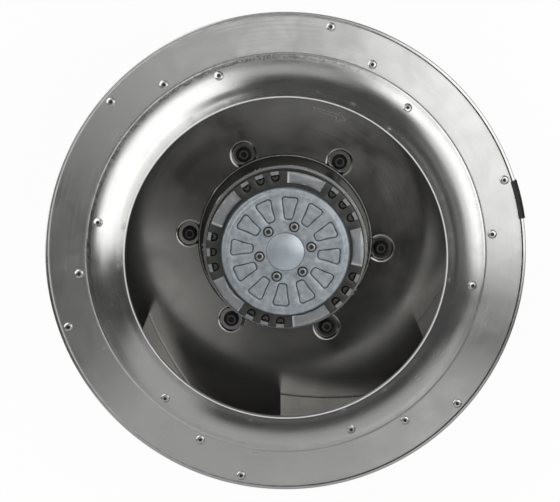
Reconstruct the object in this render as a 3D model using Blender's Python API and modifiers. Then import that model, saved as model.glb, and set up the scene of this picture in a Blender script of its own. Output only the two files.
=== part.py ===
# Plug fan: a backward-curved centrifugal impeller on an external-rotor motor.
# Metres, +Z up. The fan stands on the rear mounting face of its motor at z = 0,
# the shaft lies on +Z and the air enters from the top.

import math

import bmesh
import bpy
from mathutils import Matrix, Vector

# Fits and facets
FIT_GAP = 0.0003                 # between pieces that touch or are pressed together
HOUSING_STEPS = 28
ROTOR_STEPS = 32
WHEEL_STEPS = 40
SMALL_STEPS = 20
BORE_STEPS = 16
BOLT_STEPS = 10
RIVET_STEPS = 8
ARC_STEPS = 4                    # along each short arc of a flat outline
SHARP_ANGLE = math.radians(35.0)

# Motor housing
POT_BORE = 0.080                 # radius of the electronics chamber
HOUSING_WALL = 0.006
FRONT_PLATE = 0.008
MOUNT_RING_WIDTH = 0.0225
MOUNT_RING_THICKNESS = 0.014
MOUNT_HOLE_INSET = 0.012
MOUNT_HOLE_RADIUS = 0.00425      # tapping size of M10
MOUNT_HOLE_DEPTH = 0.012
MOUNT_HOLES = 4
FIN_COUNT = 24
FIN_THICKNESS = 0.003
FIN_INSET = 0.002
FIN_TOP_DROP = 0.006
FIN_SINK = 0.0035                # into the mounting ring

# Rear cover of the electronics
COVER_RECESS = 0.0016
REAR_COVER_THICKNESS = 0.005
REAR_COVER_DISH = 0.002
GASKET_THICKNESS = 0.0008
GASKET_LAND = 0.0095
GASKET_MARGIN = 0.001

# Electronics
BOARD_THICKNESS = 0.002
BOARD_STANDOFF = 0.028
BOARD_CLEARANCE = 0.002
BOARD_HOLE_RADIUS = 0.015
SPACER_RADIUS = 0.004
SPACER_INSET = 0.012
SPACERS = 4
CAPACITOR_RADIUS = 0.009
CAPACITOR_LENGTH = 0.026
CAPACITOR_CLEARANCE = 0.006      # to the seat of the rear cover
CAPACITOR_PITCH = 0.023
CAPACITORS = 3
ROW_DISTANCE = 0.040             # from the middle of the board to the capacitors
MODULE_LENGTH = 0.046
MODULE_WIDTH = 0.022
MODULE_DISTANCE = 0.045          # from the middle of the board to the power module

# Cable entry
BOSS_WIDTH = 0.092
BOSS_REACH = 0.014               # beyond the housing radius
BOSS_DROP = 0.020                # below the front plate
BOSS_SINK = 0.0042               # into the mounting ring
GLAND_SPACING = 0.044
GLAND_THREAD_RADIUS = 0.010
GLAND_THREAD_LENGTH = 0.010
GLAND_HEX = 0.027
GLAND_HEX_LENGTH = 0.008
GLAND_NUT_RADIUS = 0.0125
GLAND_NUT_LENGTH = 0.016
GLAND_BORE_RADIUS = 0.0065

# Shaft and bearings
SHAFT_RADIUS = 0.010
BEARING_WIDTH = 0.012
BEARING_SECTION = 0.0111         # radial, from bore to outside
BEARING_RING = 0.0039            # radial thickness of a ring at its shoulder
BALL_RADIUS = 0.0031
BALL_COUNT = 9
RACE_GAP = 0.0003
CAGE_WIDTH = 0.0020
CAGE_HEIGHT = 0.0024
BORE_SHOULDER = 0.0037           # radial step that seats an outer ring
TUBE_WALL = 0.0065
TUBE_TAIL = 0.020
TUBE_NOSE = 0.006                # tube above the stator core
BEARING_RECESS = 0.0015
SPRING_HEIGHT = 0.0020
SPRING_SHEET = 0.0006
SPRING_WAVES = 3
SPRING_WIDTH = 0.0028
COLLAR_RADIUS = 0.013
COLLAR_WIDTH = 0.002
SHAFT_STUB = 0.0012
SHAFT_CHAMFER = 0.001

# Stator core and winding
CORE_HEIGHT = 0.050
CORE_STANDOFF = 0.032
CORE_BACK = 0.0115               # radial, behind the teeth
CORE_SHOULDER = 0.0058
TOOTH_COUNT = 12
TOOTH_WIDTH = 0.012
TOOTH_LENGTH = 0.0342            # radial, with its tip
TOOTH_TIP = 0.0042
TOOTH_TIP_ANGLE = math.radians(12.5)
END_TURN_HEIGHT = 0.012
COIL_MARGIN = 0.0025
COIL_BAR_WIDTH = 0.0075

# Rotor
AIR_GAP = 0.001
MAGNET_THICKNESS = 0.0048
MAGNET_OVERHANG = 0.004
YOKE_THICKNESS = 0.0052
END_CLEARANCE = 0.007
ROOF_THICKNESS = 0.007
ROTOR_LIP_WALL = 0.0038
ROTOR_TAPER = 0.0044
ROTOR_SHOULDER_STEP = 0.0046
SHOULDER_INNER_GAP = 0.0005
LIP_DROP = 0.023
LIP_FLOOR = 0.004
ROTOR_FLANGE_THICKNESS = 0.0077
ROTOR_GAP = 0.0115               # from the housing to the turning flange
HUB_RADIUS = 0.026
HUB_GAP = 0.002
HUB_BOSS_RADIUS = 0.0135
RING_FACE_WIDTH = 0.0163
POCKET_DEPTH = 0.003
POCKET_WIDTH = 0.0094
POCKET_INNER_INSET = 0.0043      # from the inner edge of the ring face
POCKET_OUTER_INSET = 0.0045      # from the outer edge of the ring face
POCKET_GROUPS = 5
POCKETS_IN_GROUP = 3
POCKET_PITCH = math.radians(12.0)
GROUP_PHASE = math.radians(2.0)
PLATE_HEIGHT = 0.002
PLATE_ARC = math.radians(30.0)
PLATE_INNER_INSET = 0.0030
PLATE_OUTER_INSET = 0.0008

# Rotor cover, its screws and its cap
COVER_HEIGHT = 0.0187
COVER_TOP = 0.007
COVER_SKIRT = 0.005
COVER_CHAMFER = 0.002
COVER_HUB_RADIUS = 0.034
COVER_POCKETS = 12
COVER_POCKET_DEPTH = 0.002
COVER_POCKET_INNER = 0.0336
COVER_POCKET_RIM = 0.0097        # from the pockets to the outer edge
COVER_POCKET_INNER_WIDTH = 0.009
COVER_POCKET_OUTER_WIDTH = 0.020
COVER_POCKET_CORNER = 0.0035
COVER_POCKET_PHASE = math.radians(-5.0)
COVER_SCREWS = 6
COVER_SCREW_CIRCLE = 0.028
COVER_SCREW_PHASE = math.radians(10.5)
COVER_SCREW_RADIUS = 0.003
COVER_SCREW_FLANGE_RADIUS = 0.0055
COVER_SCREW_FLANGE = 0.0009
COVER_SCREW_HEAD_RADIUS = 0.0051
COVER_SCREW_HEAD_HEIGHT = 0.0021
COVER_SCREW_SOCKET_RADIUS = 0.0029
COVER_SCREW_SOCKET_DEPTH = 0.002
COVER_SCREW_END_GAP = 0.001
CAP_RADIUS = 0.0195
CAP_RECESS = 0.003
CAP_RISE = 0.0025
CAP_CROWN = 0.0037               # from the top of the cap to its straight side
CAP_ANGLES = (0.0, 30.0, 60.0, 90.0)
CAP_SIDE_GAP = 0.0009

# Back plate and hub bolts
PLATE_SHEET = 0.0025
DIMPLE_DEPTH = 0.004
DIMPLE_RADIUS = 0.0155
DIMPLE_FLOOR_RADIUS = 0.0115
PLATE_HOLE_GAP = 0.0025
PLATE_EDGE_INSET = 0.0025        # inside the wheel's radius
PLATE_EDGE_DROP = 0.005
PLATE_EDGE_BEND = 0.002
BOLT_CIRCLE_OFFSET = 0.012       # outside the base of the rotor
FLANGE_MARGIN = 0.0145           # outside the bolt circle
HUB_BOLTS = 6
HUB_BOLT_PHASE = math.radians(-4.4)
HUB_BOLT_RADIUS = 0.004
HUB_BOLT_CLEARANCE = 0.0005
HUB_BOLT_FLANGE_RADIUS = 0.0085
HUB_BOLT_FLANGE = 0.0016
HUB_BOLT_HEAD_RADIUS = 0.006
HUB_BOLT_HEAD_HEIGHT = 0.006
HUB_BOLT_SOCKET_RADIUS = 0.0029
HUB_BOLT_SOCKET_DEPTH = 0.004
HUB_BOLT_TAIL = 0.001

# Inlet shroud
SHEET = 0.002
INLET_RADIUS = 0.1665
NECK_HEIGHT = 0.004
BELL_WIDTH = 0.0445
BELL_DEPTH = 0.040
BELL_ANGLES = (0.0, 22.0, 44.0, 66.0, 81.0, 90.0)
RING_WIDTH = 0.0425
RING_FALL = 0.0015
EDGE_BEND = 0.003
EDGE_DROP = 0.007
OUTLET_WIDTH = 0.119             # between the back plate and the shroud at the crease

# Blades and their rivets
BLADE_COUNT = 6
BLADE_SHEET = 0.002
BLADE_GAP = 0.0008
BLADE_STATIONS = 13
BLADE_INLET_INSET = 0.0055       # outside the inlet radius
BLADE_TIP_INSET = 0.008          # inside the wheel's radius
BLADE_INLET_ANGLE = math.radians(7.0)
BLADE_OUTLET_ANGLE = math.radians(28.5)
BLADE_PHASE = math.radians(28.3)
BLADE_FLANGE = 0.019
BLADE_FOOT = 0.016
FLANGE_START = 0.015             # along the blade, where the flanges begin
FLANGE_FULL = 0.045              # along the blade, where they are at full width
FLANGE_TIP_MARGIN = 0.0028
FLANGE_ROOT = 0.0005
RIVETS_PER_BLADE = 3
RIVET_TIP_DISTANCE = 0.028
RIVET_PITCH = 0.0565
RIVET_OFFSET = 0.0112
RIVET_RADIUS = 0.0024
RIVET_HEAD_RADIUS = 0.00475
RIVET_HEAD_HEIGHT = 0.0014
RIVET_CROWN_RADIUS = 0.0033
RIVET_CROWN_DROP = 0.0004
RIVET_HOLE_RADIUS = 0.00125
RIVET_HOLE_DEPTH = 0.003
RIVET_TAIL_RADIUS = 0.0036
RIVET_TAIL_LENGTH = 0.0028
RIVET_SEAT_GAP = 0.0006

# Balance clip on the shroud's turned edge
CLIP_LENGTH = 0.0410             # along the edge
CLIP_RIVET_DISTANCE = 0.0040     # from its end to the middle of the nearest rivet
CLIP_SHEET = 0.0012
CLIP_HOOK = 0.0035
CLIP_STATIONS = 5

# Heights that follow, from the mounting face upward
COVER_TOP_Z = COVER_RECESS + REAR_COVER_THICKNESS
GASKET_Z = COVER_TOP_Z + FIT_GAP
LAND_Z = GASKET_Z + GASKET_THICKNESS + FIT_GAP
BOARD_BOTTOM_Z = LAND_Z + CAPACITOR_CLEARANCE + CAPACITOR_LENGTH
BOARD_TOP_Z = BOARD_BOTTOM_Z + BOARD_THICKNESS
PLATE_UNDERSIDE_Z = BOARD_TOP_Z + BOARD_STANDOFF
HOUSING_HEIGHT = PLATE_UNDERSIDE_Z + FRONT_PLATE
CORE_BOTTOM_Z = HOUSING_HEIGHT + CORE_STANDOFF
CORE_TOP_Z = CORE_BOTTOM_Z + CORE_HEIGHT
TUBE_TOP_Z = CORE_TOP_Z + TUBE_NOSE
FRONT_BEARING_TOP_Z = TUBE_TOP_Z - BEARING_RECESS
FRONT_SEAT_Z = FRONT_BEARING_TOP_Z - BEARING_WIDTH - FIT_GAP
REAR_SEAT_Z = HOUSING_HEIGHT
SPRING_TOP_Z = REAR_SEAT_Z - FIT_GAP
REAR_BEARING_TOP_Z = SPRING_TOP_Z - SPRING_HEIGHT - FIT_GAP
REAR_BEARING_BOTTOM_Z = REAR_BEARING_TOP_Z - BEARING_WIDTH
ROOF_UNDERSIDE_Z = CORE_TOP_Z + END_TURN_HEIGHT + END_CLEARANCE
RING_FACE_Z = ROOF_UNDERSIDE_Z + ROOF_THICKNESS
LIP_Z = RING_FACE_Z - LIP_DROP
STEP_Z = LIP_Z - LIP_FLOOR
FLANGE_BOTTOM_Z = HOUSING_HEIGHT + ROTOR_GAP
FLANGE_TOP_Z = FLANGE_BOTTOM_Z + ROTOR_FLANGE_THICKNESS
DIMPLE_REAR_Z = FLANGE_TOP_Z + FIT_GAP
BOLT_SEAT_Z = DIMPLE_REAR_Z + PLATE_SHEET
PLATE_FRONT_Z = BOLT_SEAT_Z + DIMPLE_DEPTH
COVER_BOTTOM_Z = RING_FACE_Z + FIT_GAP
COVER_FACE_Z = COVER_BOTTOM_Z + COVER_HEIGHT
CREASE_Z = PLATE_FRONT_Z + OUTLET_WIDTH
BELL_CENTRE_Z = CREASE_Z + BELL_DEPTH
RIM_Z = BELL_CENTRE_Z + NECK_HEIGHT

# Radii that follow, from the chamber and from the shaft outward
POT_RADIUS = POT_BORE + HOUSING_WALL
COVER_SEAT_RADIUS = POT_BORE + GASKET_LAND
HOUSING_RADIUS = COVER_SEAT_RADIUS + MOUNT_RING_WIDTH
RING_BORE = SHAFT_RADIUS + FIT_GAP
BEARING_RADIUS = RING_BORE + BEARING_SECTION
PITCH_RADIUS = RING_BORE + BEARING_SECTION / 2
SEAT_RADIUS = BEARING_RADIUS + FIT_GAP
TUBE_RADIUS = SEAT_RADIUS + TUBE_WALL
CORE_BORE = TUBE_RADIUS + FIT_GAP
CORE_RADIUS = CORE_BORE + CORE_BACK + TOOTH_LENGTH
MAGNET_INNER = CORE_RADIUS + AIR_GAP
MAGNET_OUTER = MAGNET_INNER + MAGNET_THICKNESS
YOKE_INNER = MAGNET_OUTER + FIT_GAP
YOKE_OUTER = YOKE_INNER + YOKE_THICKNESS
ROTOR_BORE = YOKE_OUTER + FIT_GAP
LIP_RADIUS = ROTOR_BORE + ROTOR_LIP_WALL
ROTOR_BASE_RADIUS = LIP_RADIUS + ROTOR_TAPER
SHOULDER_RADIUS = LIP_RADIUS - ROTOR_SHOULDER_STEP
COVER_RADIUS = SHOULDER_RADIUS - RING_FACE_WIDTH
PLATE_HOLE_RADIUS = ROTOR_BASE_RADIUS + PLATE_HOLE_GAP
BOLT_CIRCLE = ROTOR_BASE_RADIUS + BOLT_CIRCLE_OFFSET
FLANGE_RADIUS = BOLT_CIRCLE + FLANGE_MARGIN
CREASE_RADIUS = INLET_RADIUS + BELL_WIDTH
WHEEL_RADIUS = CREASE_RADIUS + RING_WIDTH
PLATE_RADIUS = WHEEL_RADIUS - PLATE_EDGE_INSET
RING_END_RADIUS = WHEEL_RADIUS - SHEET - EDGE_BEND
BLADE_INLET_RADIUS = INLET_RADIUS + BLADE_INLET_INSET
BLADE_TIP_RADIUS = WHEEL_RADIUS - BLADE_TIP_INSET
BLADE_FOOT_Z = PLATE_FRONT_Z + FIT_GAP

# Finishes: colour, roughness, metallic
ALUMINIUM_SHEET = ((0.62, 0.63, 0.64), 0.28, 1.0)
ALUMINIUM_CAST = ((0.36, 0.37, 0.38), 0.55, 1.0)
COVER_CAST = ((0.50, 0.56, 0.62), 0.45, 0.9)
DARK_CAST = ((0.10, 0.10, 0.10), 0.60, 0.6)
BLACK_STEEL = ((0.03, 0.03, 0.03), 0.45, 0.8)
BRIGHT_STEEL = ((0.70, 0.70, 0.70), 0.22, 1.0)
LAMINATION = ((0.24, 0.25, 0.27), 0.50, 0.9)
FERRITE = ((0.07, 0.07, 0.08), 0.70, 0.2)
COPPER = ((0.65, 0.28, 0.12), 0.35, 1.0)
BOARD_GREEN = ((0.03, 0.16, 0.06), 0.50, 0.0)
BLACK_PLASTIC = ((0.03, 0.03, 0.03), 0.50, 0.0)
BLACK_RUBBER = ((0.02, 0.02, 0.02), 0.85, 0.0)
CAP_GREY = ((0.62, 0.68, 0.72), 0.30, 0.0)


def clear_scene():
    for obj in list(bpy.data.objects):
        bpy.data.objects.remove(obj, do_unlink=True)


def new_collection(name):
    group = bpy.data.collections.new(name)
    bpy.context.scene.collection.children.link(group)
    return group


def new_empty(name):
    empty = bpy.data.objects.new(name, None)
    parts.objects.link(empty)
    return empty


def finish_material(name, finish):
    colour, roughness, metallic = finish
    material = bpy.data.materials.new(name)
    material.use_nodes = True
    shader = material.node_tree.nodes["Principled BSDF"]
    shader.inputs["Base Color"].default_value = (*colour, 1.0)
    shader.inputs["Roughness"].default_value = roughness
    shader.inputs["Metallic"].default_value = metallic
    return material


def piece(name, mesh, finish, body, matrix=Matrix.Identity(4)):
    """Make one named part from a mesh and hang it on the empty of its moving body."""
    if not mesh.materials:
        mesh.materials.append(finish_material(name + "_finish", finish))
    obj = bpy.data.objects.new(name, mesh)
    parts.objects.link(obj)
    obj.parent = body
    obj.matrix_world = matrix
    return obj


def tool(name, mesh):
    """Make an object that only shapes other parts."""
    obj = bpy.data.objects.new(name, mesh)
    cutters.objects.link(obj)
    obj.hide_render = True
    obj.display_type = "WIRE"
    return obj


def boolean(obj, other, operation):
    modifier = obj.modifiers.new(operation.lower() + "_" + other.name, "BOOLEAN")
    modifier.operation = operation
    modifier.object = other
    return obj


def shaded(mesh):
    mesh.shade_smooth()
    mesh.set_sharp_from_angle(angle=SHARP_ANGLE)
    return mesh


def baked(obj):
    """Turn an object with modifiers, or a curve, into a welded mesh and remove the object."""
    bpy.context.view_layer.update()
    graph = bpy.context.evaluated_depsgraph_get()
    mesh = bpy.data.meshes.new_from_object(obj.evaluated_get(graph))
    bpy.data.objects.remove(obj, do_unlink=True)
    work = bmesh.new()
    work.from_mesh(mesh)
    bmesh.ops.remove_doubles(work, verts=work.verts, dist=0.000001)
    work.to_mesh(mesh)
    work.free()
    mesh.materials.clear()
    return shaded(mesh)


def turned(profiles, steps):
    """Screw one or more (radius, height) profiles about Z.

    The outer side of a profile runs from top to bottom. A profile that starts on the axis
    also ends on it, and any other profile is closed into a ring."""
    vertices = []
    edges = []
    for profile in profiles:
        first = len(vertices)
        vertices += [(radius, 0.0, height) for radius, height in profile]
        edges += [(first + i, first + i + 1) for i in range(len(profile) - 1)]
        if profile[0][0] > 0.0:
            edges.append((first + len(profile) - 1, first))
    mesh = bpy.data.meshes.new("profile")
    mesh.from_pydata(vertices, edges, [])
    return baked(screwed(tool("profile", mesh), steps))


def screwed(obj, steps):
    screw = obj.modifiers.new("turn", "SCREW")
    screw.steps = steps
    screw.render_steps = steps
    screw.use_merge_vertices = True
    screw.merge_threshold = 0.00001
    return obj


def ring(inner, outer, bottom, top):
    return [(outer, top), (outer, bottom), (inner, bottom), (inner, top)]


def extruded(outlines, bottom, top):
    """Raise flat (x, y) outlines from one height to another; an inner outline is a hole."""
    curve = bpy.data.curves.new("outline", "CURVE")
    curve.dimensions = "2D"
    curve.fill_mode = "BOTH"
    curve.extrude = (top - bottom) / 2
    for outline in outlines:
        spline = curve.splines.new("POLY")
        spline.points.add(len(outline) - 1)
        for point, (x, y) in zip(spline.points, outline):
            point.co = (x, y, 0.0, 1.0)
        spline.use_cyclic_u = True
    mesh = baked(tool("outline", curve))
    mesh.transform(Matrix.Translation((0.0, 0.0, (top + bottom) / 2)))
    return mesh


def rods(places, lower_radius, upper_radius, bottom, top, steps):
    """Upright cylinders or cones between two heights, one at each (x, y) place."""
    work = bmesh.new()
    middle = (bottom + top) / 2
    for x, y in places:
        bmesh.ops.create_cone(work, cap_ends=True, segments=steps, radius1=lower_radius,
                              radius2=upper_radius, depth=top - bottom,
                              matrix=Matrix.Translation((x, y, middle)))
    return from_work(work)


def boxes(matrices):
    """Unit cubes, each stretched and placed by its matrix."""
    work = bmesh.new()
    for matrix in matrices:
        bmesh.ops.create_cube(work, size=1.0, matrix=matrix)
    return from_work(work)


def box_matrix(centre, size, angle=0.0):
    turn = Matrix.Rotation(angle, 4, "Z")
    stretch = Matrix.Diagonal((*size, 1.0))
    return turn @ Matrix.Translation(centre) @ stretch


def from_work(work):
    mesh = bpy.data.meshes.new("shape")
    bmesh.ops.recalc_face_normals(work, faces=work.faces)
    work.to_mesh(mesh)
    work.free()
    return shaded(mesh)


def joined(meshes):
    work = bmesh.new()
    for mesh in meshes:
        work.from_mesh(mesh)
        bpy.data.meshes.remove(mesh)
    return from_work(work)


def loft(sections, closed=False):
    """Skin between sections with equal numbers of points; an open loft gets end caps."""
    work = bmesh.new()
    rows = [[work.verts.new(point) for point in section] for section in sections]
    pairs = list(zip(rows, rows[1:]))
    if closed:
        pairs.append((rows[-1], rows[0]))
    else:
        work.faces.new(rows[0])
        work.faces.new(reversed(rows[-1]))
    for near, far in pairs:
        for i in range(len(near)):
            j = (i + 1) % len(near)
            work.faces.new((near[i], near[j], far[j], far[i]))
    return from_work(work)


def polar(radius, angle):
    return (radius * math.cos(angle), radius * math.sin(angle))


def circle(radius, steps):
    return [polar(radius, 2 * math.pi * i / steps) for i in range(steps)]


def around(count, radius, phase=0.0):
    return [polar(radius, phase + 2 * math.pi * i / count) for i in range(count)]


def turned_about(outline, angle):
    c, s = math.cos(angle), math.sin(angle)
    return [(x * c - y * s, x * s + y * c) for x, y in outline]


def rounded(corners, radius, steps=2):
    """Replace each corner of an (x, y) outline by a short arc."""
    outline = []
    count = len(corners)
    for i in range(count):
        corner = Vector(corners[i])
        before = (Vector(corners[i - 1]) - corner).normalized()
        after = (Vector(corners[(i + 1) % count]) - corner).normalized()
        half = before.angle(after) / 2
        reach = radius / math.tan(half)
        centre = corner + (before + after).normalized() * radius / math.sin(half)
        start = corner + before * reach - centre
        sweep = start.angle_signed(corner + after * reach - centre)
        for step in range(steps + 1):
            spoke = start.copy()
            spoke.rotate(Matrix.Rotation(-sweep * step / steps, 2))
            outline.append(tuple(centre + spoke))
    return outline


# Motor housing and electronics

def stator_housing():
    """Cast pot with the bearing tube, cooling fins, cable entry and four tapped mounting holes."""
    tube_shoulder = TUBE_RADIUS + CORE_SHOULDER
    shoulder_z = CORE_BOTTOM_Z - FIT_GAP
    body = turned([[(0.0, TUBE_TOP_Z), (TUBE_RADIUS, TUBE_TOP_Z), (TUBE_RADIUS, shoulder_z),
                    (tube_shoulder, shoulder_z), (tube_shoulder, HOUSING_HEIGHT),
                    (POT_RADIUS, HOUSING_HEIGHT), (POT_RADIUS, MOUNT_RING_THICKNESS),
                    (HOUSING_RADIUS, MOUNT_RING_THICKNESS), (HOUSING_RADIUS, 0.0),
                    (0.0, 0.0)]], HOUSING_STEPS)
    housing = piece("stator_housing", body, ALUMINIUM_CAST, stator)
    boolean(housing, tool("housing_fins", housing_fins()), "UNION")
    boolean(housing, tool("cable_boss", cable_boss()), "UNION")
    boolean(housing, tool("housing_hollow", housing_hollow()), "DIFFERENCE")
    holes = rods(around(MOUNT_HOLES, HOUSING_RADIUS - MOUNT_HOLE_INSET), MOUNT_HOLE_RADIUS,
                 MOUNT_HOLE_RADIUS, -MOUNT_HOLE_DEPTH, MOUNT_HOLE_DEPTH, BORE_STEPS)
    boolean(housing, tool("mount_holes", holes), "DIFFERENCE")
    boolean(housing, tool("gland_holes", gland_holes()), "DIFFERENCE")


def housing_fins():
    inner = POT_RADIUS - HOUSING_WALL / 2
    outer = HOUSING_RADIUS - FIN_INSET
    bottom = MOUNT_RING_THICKNESS - FIN_SINK
    top = HOUSING_HEIGHT - FIN_TOP_DROP
    centre = ((inner + outer) / 2, 0.0, (bottom + top) / 2)
    size = (outer - inner, FIN_THICKNESS, top - bottom)
    # Half a facet of turn keeps each fin off the corners of the pot
    first = math.pi / HOUSING_STEPS
    return boxes(box_matrix(centre, size, first + 2 * math.pi * i / FIN_COUNT)
                 for i in range(FIN_COUNT))


def boss_heights():
    return MOUNT_RING_THICKNESS - BOSS_SINK, HOUSING_HEIGHT - BOSS_DROP


def cable_boss():
    bottom, top = boss_heights()
    outer = HOUSING_RADIUS + BOSS_REACH
    inner = math.sqrt(POT_RADIUS ** 2 - (BOSS_WIDTH / 2) ** 2) - HOUSING_WALL
    return boxes([box_matrix((0.0, -(inner + outer) / 2, (bottom + top) / 2),
                             (BOSS_WIDTH, outer - inner, top - bottom))])


def housing_hollow():
    """The bearing bores, the electronics chamber and the seat of the rear cover in one turn."""
    bore = SEAT_RADIUS - BORE_SHOULDER
    tail_z = HOUSING_HEIGHT - TUBE_TAIL
    above = TUBE_TOP_Z + TUBE_NOSE
    return turned([[(0.0, above), (SEAT_RADIUS, above), (SEAT_RADIUS, FRONT_SEAT_Z),
                    (bore, FRONT_SEAT_Z), (bore, REAR_SEAT_Z), (SEAT_RADIUS, REAR_SEAT_Z),
                    (SEAT_RADIUS, tail_z), (TUBE_RADIUS, tail_z),
                    (TUBE_RADIUS, PLATE_UNDERSIDE_Z), (POT_BORE, PLATE_UNDERSIDE_Z),
                    (POT_BORE, LAND_Z), (COVER_SEAT_RADIUS, LAND_Z),
                    (COVER_SEAT_RADIUS, -LAND_Z), (0.0, -LAND_Z)]], HOUSING_STEPS)


def gland_matrices():
    """Place each gland on the cable entry, its own +Z pointing out of the housing."""
    bottom, top = boss_heights()
    face = -(HOUSING_RADIUS + BOSS_REACH)
    tilt = Matrix.Rotation(math.radians(90.0), 4, "X")
    return [Matrix.Translation((side * GLAND_SPACING / 2, face, (bottom + top) / 2)) @ tilt
            for side in (-1, 1)]


def gland_holes():
    radius = GLAND_THREAD_RADIUS + FIT_GAP
    chamber = math.sqrt(POT_BORE ** 2 - (GLAND_SPACING / 2 + radius) ** 2)
    reach = HOUSING_RADIUS + BOSS_REACH - chamber + HOUSING_WALL
    holes = []
    for matrix in gland_matrices():
        hole = rods([(0.0, 0.0)], radius, radius, -reach, HOUSING_WALL, BORE_STEPS)
        hole.transform(matrix)
        holes.append(hole)
    return joined(holes)


def cable_glands():
    """Threaded body, hexagon and domed nut with a bore for the cable."""
    nut_top = GLAND_HEX_LENGTH + GLAND_NUT_LENGTH
    chamfer = GLAND_NUT_RADIUS - GLAND_BORE_RADIUS
    body = turned([[(0.0, nut_top), (GLAND_BORE_RADIUS + chamfer / 2, nut_top),
                    (GLAND_NUT_RADIUS, nut_top - chamfer / 2),
                    (GLAND_NUT_RADIUS, GLAND_HEX_LENGTH / 2),
                    (GLAND_THREAD_RADIUS, GLAND_HEX_LENGTH / 2),
                    (GLAND_THREAD_RADIUS, -GLAND_THREAD_LENGTH),
                    (0.0, -GLAND_THREAD_LENGTH)]], BORE_STEPS)
    gland = boolean(tool("gland", body), tool("gland_hexagon", gland_hexagon()), "UNION")
    boolean(gland, tool("gland_bore", rods([(0.0, 0.0)], GLAND_BORE_RADIUS, GLAND_BORE_RADIUS,
                                           -2 * GLAND_THREAD_LENGTH, 2 * nut_top, BORE_STEPS)),
            "DIFFERENCE")
    mesh = baked(gland)
    for number, matrix in enumerate(gland_matrices(), 1):
        piece(f"cable_gland_{number}", mesh, BLACK_PLASTIC, stator, matrix)


def gland_hexagon():
    across_corners = GLAND_HEX / math.cos(math.pi / 6)
    return rods([(0.0, 0.0)], across_corners / 2, across_corners / 2,
                FIT_GAP, GLAND_HEX_LENGTH, 6)


def electronics_cover():
    radius = COVER_SEAT_RADIUS - FIT_GAP
    rim = radius - GASKET_LAND
    dish = COVER_RECESS + REAR_COVER_DISH
    mesh = turned([[(0.0, COVER_TOP_Z), (radius, COVER_TOP_Z), (radius, COVER_RECESS),
                    (rim, COVER_RECESS), (rim - REAR_COVER_DISH, dish), (0.0, dish)]],
                  HOUSING_STEPS)
    piece("electronics_cover", mesh, ALUMINIUM_CAST, stator)


def cover_gasket():
    mesh = turned([ring(POT_BORE + GASKET_MARGIN, COVER_SEAT_RADIUS - GASKET_MARGIN,
                        GASKET_Z, GASKET_Z + GASKET_THICKNESS)], HOUSING_STEPS)
    piece("cover_gasket", mesh, BLACK_RUBBER, stator)


def circuit_board():
    """Round board with its spacers, capacitors and the power module that cools on the plate."""
    radius = POT_BORE - BOARD_CLEARANCE
    middle = (BOARD_BOTTOM_Z + BOARD_TOP_Z) / 2
    seat = PLATE_UNDERSIDE_Z - FIT_GAP
    mesh = turned([ring(BOARD_HOLE_RADIUS, radius, BOARD_BOTTOM_Z, BOARD_TOP_Z)], HOUSING_STEPS)
    board = piece("circuit_board", mesh, BOARD_GREEN, stator)
    spacer_places = around(SPACERS, radius - SPACER_INSET, math.pi / SPACERS)
    spacers = rods(spacer_places, SPACER_RADIUS, SPACER_RADIUS, middle, seat, BOLT_STEPS)
    row = [((i - (CAPACITORS - 1) / 2) * CAPACITOR_PITCH, ROW_DISTANCE)
           for i in range(CAPACITORS)]
    capacitors = rods(row, CAPACITOR_RADIUS, CAPACITOR_RADIUS,
                      BOARD_BOTTOM_Z - CAPACITOR_LENGTH, middle, BORE_STEPS)
    module = boxes([box_matrix((0.0, -MODULE_DISTANCE, (middle + seat) / 2),
                               (MODULE_LENGTH, MODULE_WIDTH, seat - middle))])
    boolean(board, tool("board_parts", joined([spacers, capacitors, module])), "UNION")


# Shaft and bearings

def race(centre_z, side):
    """Arc of a ball groove, from its upper end to its lower end; side is 1 for the outer ring."""
    shoulder = BEARING_SECTION / 2 - BEARING_RING
    groove = BALL_RADIUS + RACE_GAP
    spread = math.acos(shoulder / groove)
    angles = [spread * (1 - i / 2) for i in range(5)]
    return [(PITCH_RADIUS + side * groove * math.cos(angle), centre_z + groove * math.sin(angle))
            for angle in angles]


def bearing(name, bottom):
    """Outer ring on the stator, inner ring on the shaft, and the balls in their cage between."""
    top = bottom + BEARING_WIDTH
    middle = (bottom + top) / 2
    outer_shoulder = BEARING_RADIUS - BEARING_RING
    inner_shoulder = RING_BORE + BEARING_RING
    outer = turned([[(BEARING_RADIUS, top), (BEARING_RADIUS, bottom), (outer_shoulder, bottom)]
                    + race(middle, 1)[::-1] + [(outer_shoulder, top)]], SMALL_STEPS)
    inner = turned([[(inner_shoulder, top)] + race(middle, -1)
                    + [(inner_shoulder, bottom), (RING_BORE, bottom), (RING_BORE, top)]],
                   BORE_STEPS)
    piece(name + "_bearing_outer", outer, BRIGHT_STEEL, stator)
    piece(name + "_bearing_inner", inner, BRIGHT_STEEL, impeller)
    cage_body = new_empty(name + "_cage")
    cage = turned([ring(PITCH_RADIUS - CAGE_WIDTH / 2, PITCH_RADIUS + CAGE_WIDTH / 2,
                        middle - CAGE_HEIGHT / 2, middle + CAGE_HEIGHT / 2)], 2 * BALL_COUNT)
    cage_piece = piece(name + "_bearing_cage", cage, BRIGHT_STEEL, cage_body)
    boolean(cage_piece, tool(name + "_balls", balls(middle)), "UNION")


def balls(height):
    work = bmesh.new()
    for x, y in around(BALL_COUNT, PITCH_RADIUS):
        bmesh.ops.create_uvsphere(work, u_segments=8, v_segments=4, radius=BALL_RADIUS,
                                  matrix=Matrix.Translation((x, y, height)))
    return from_work(work)


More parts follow.
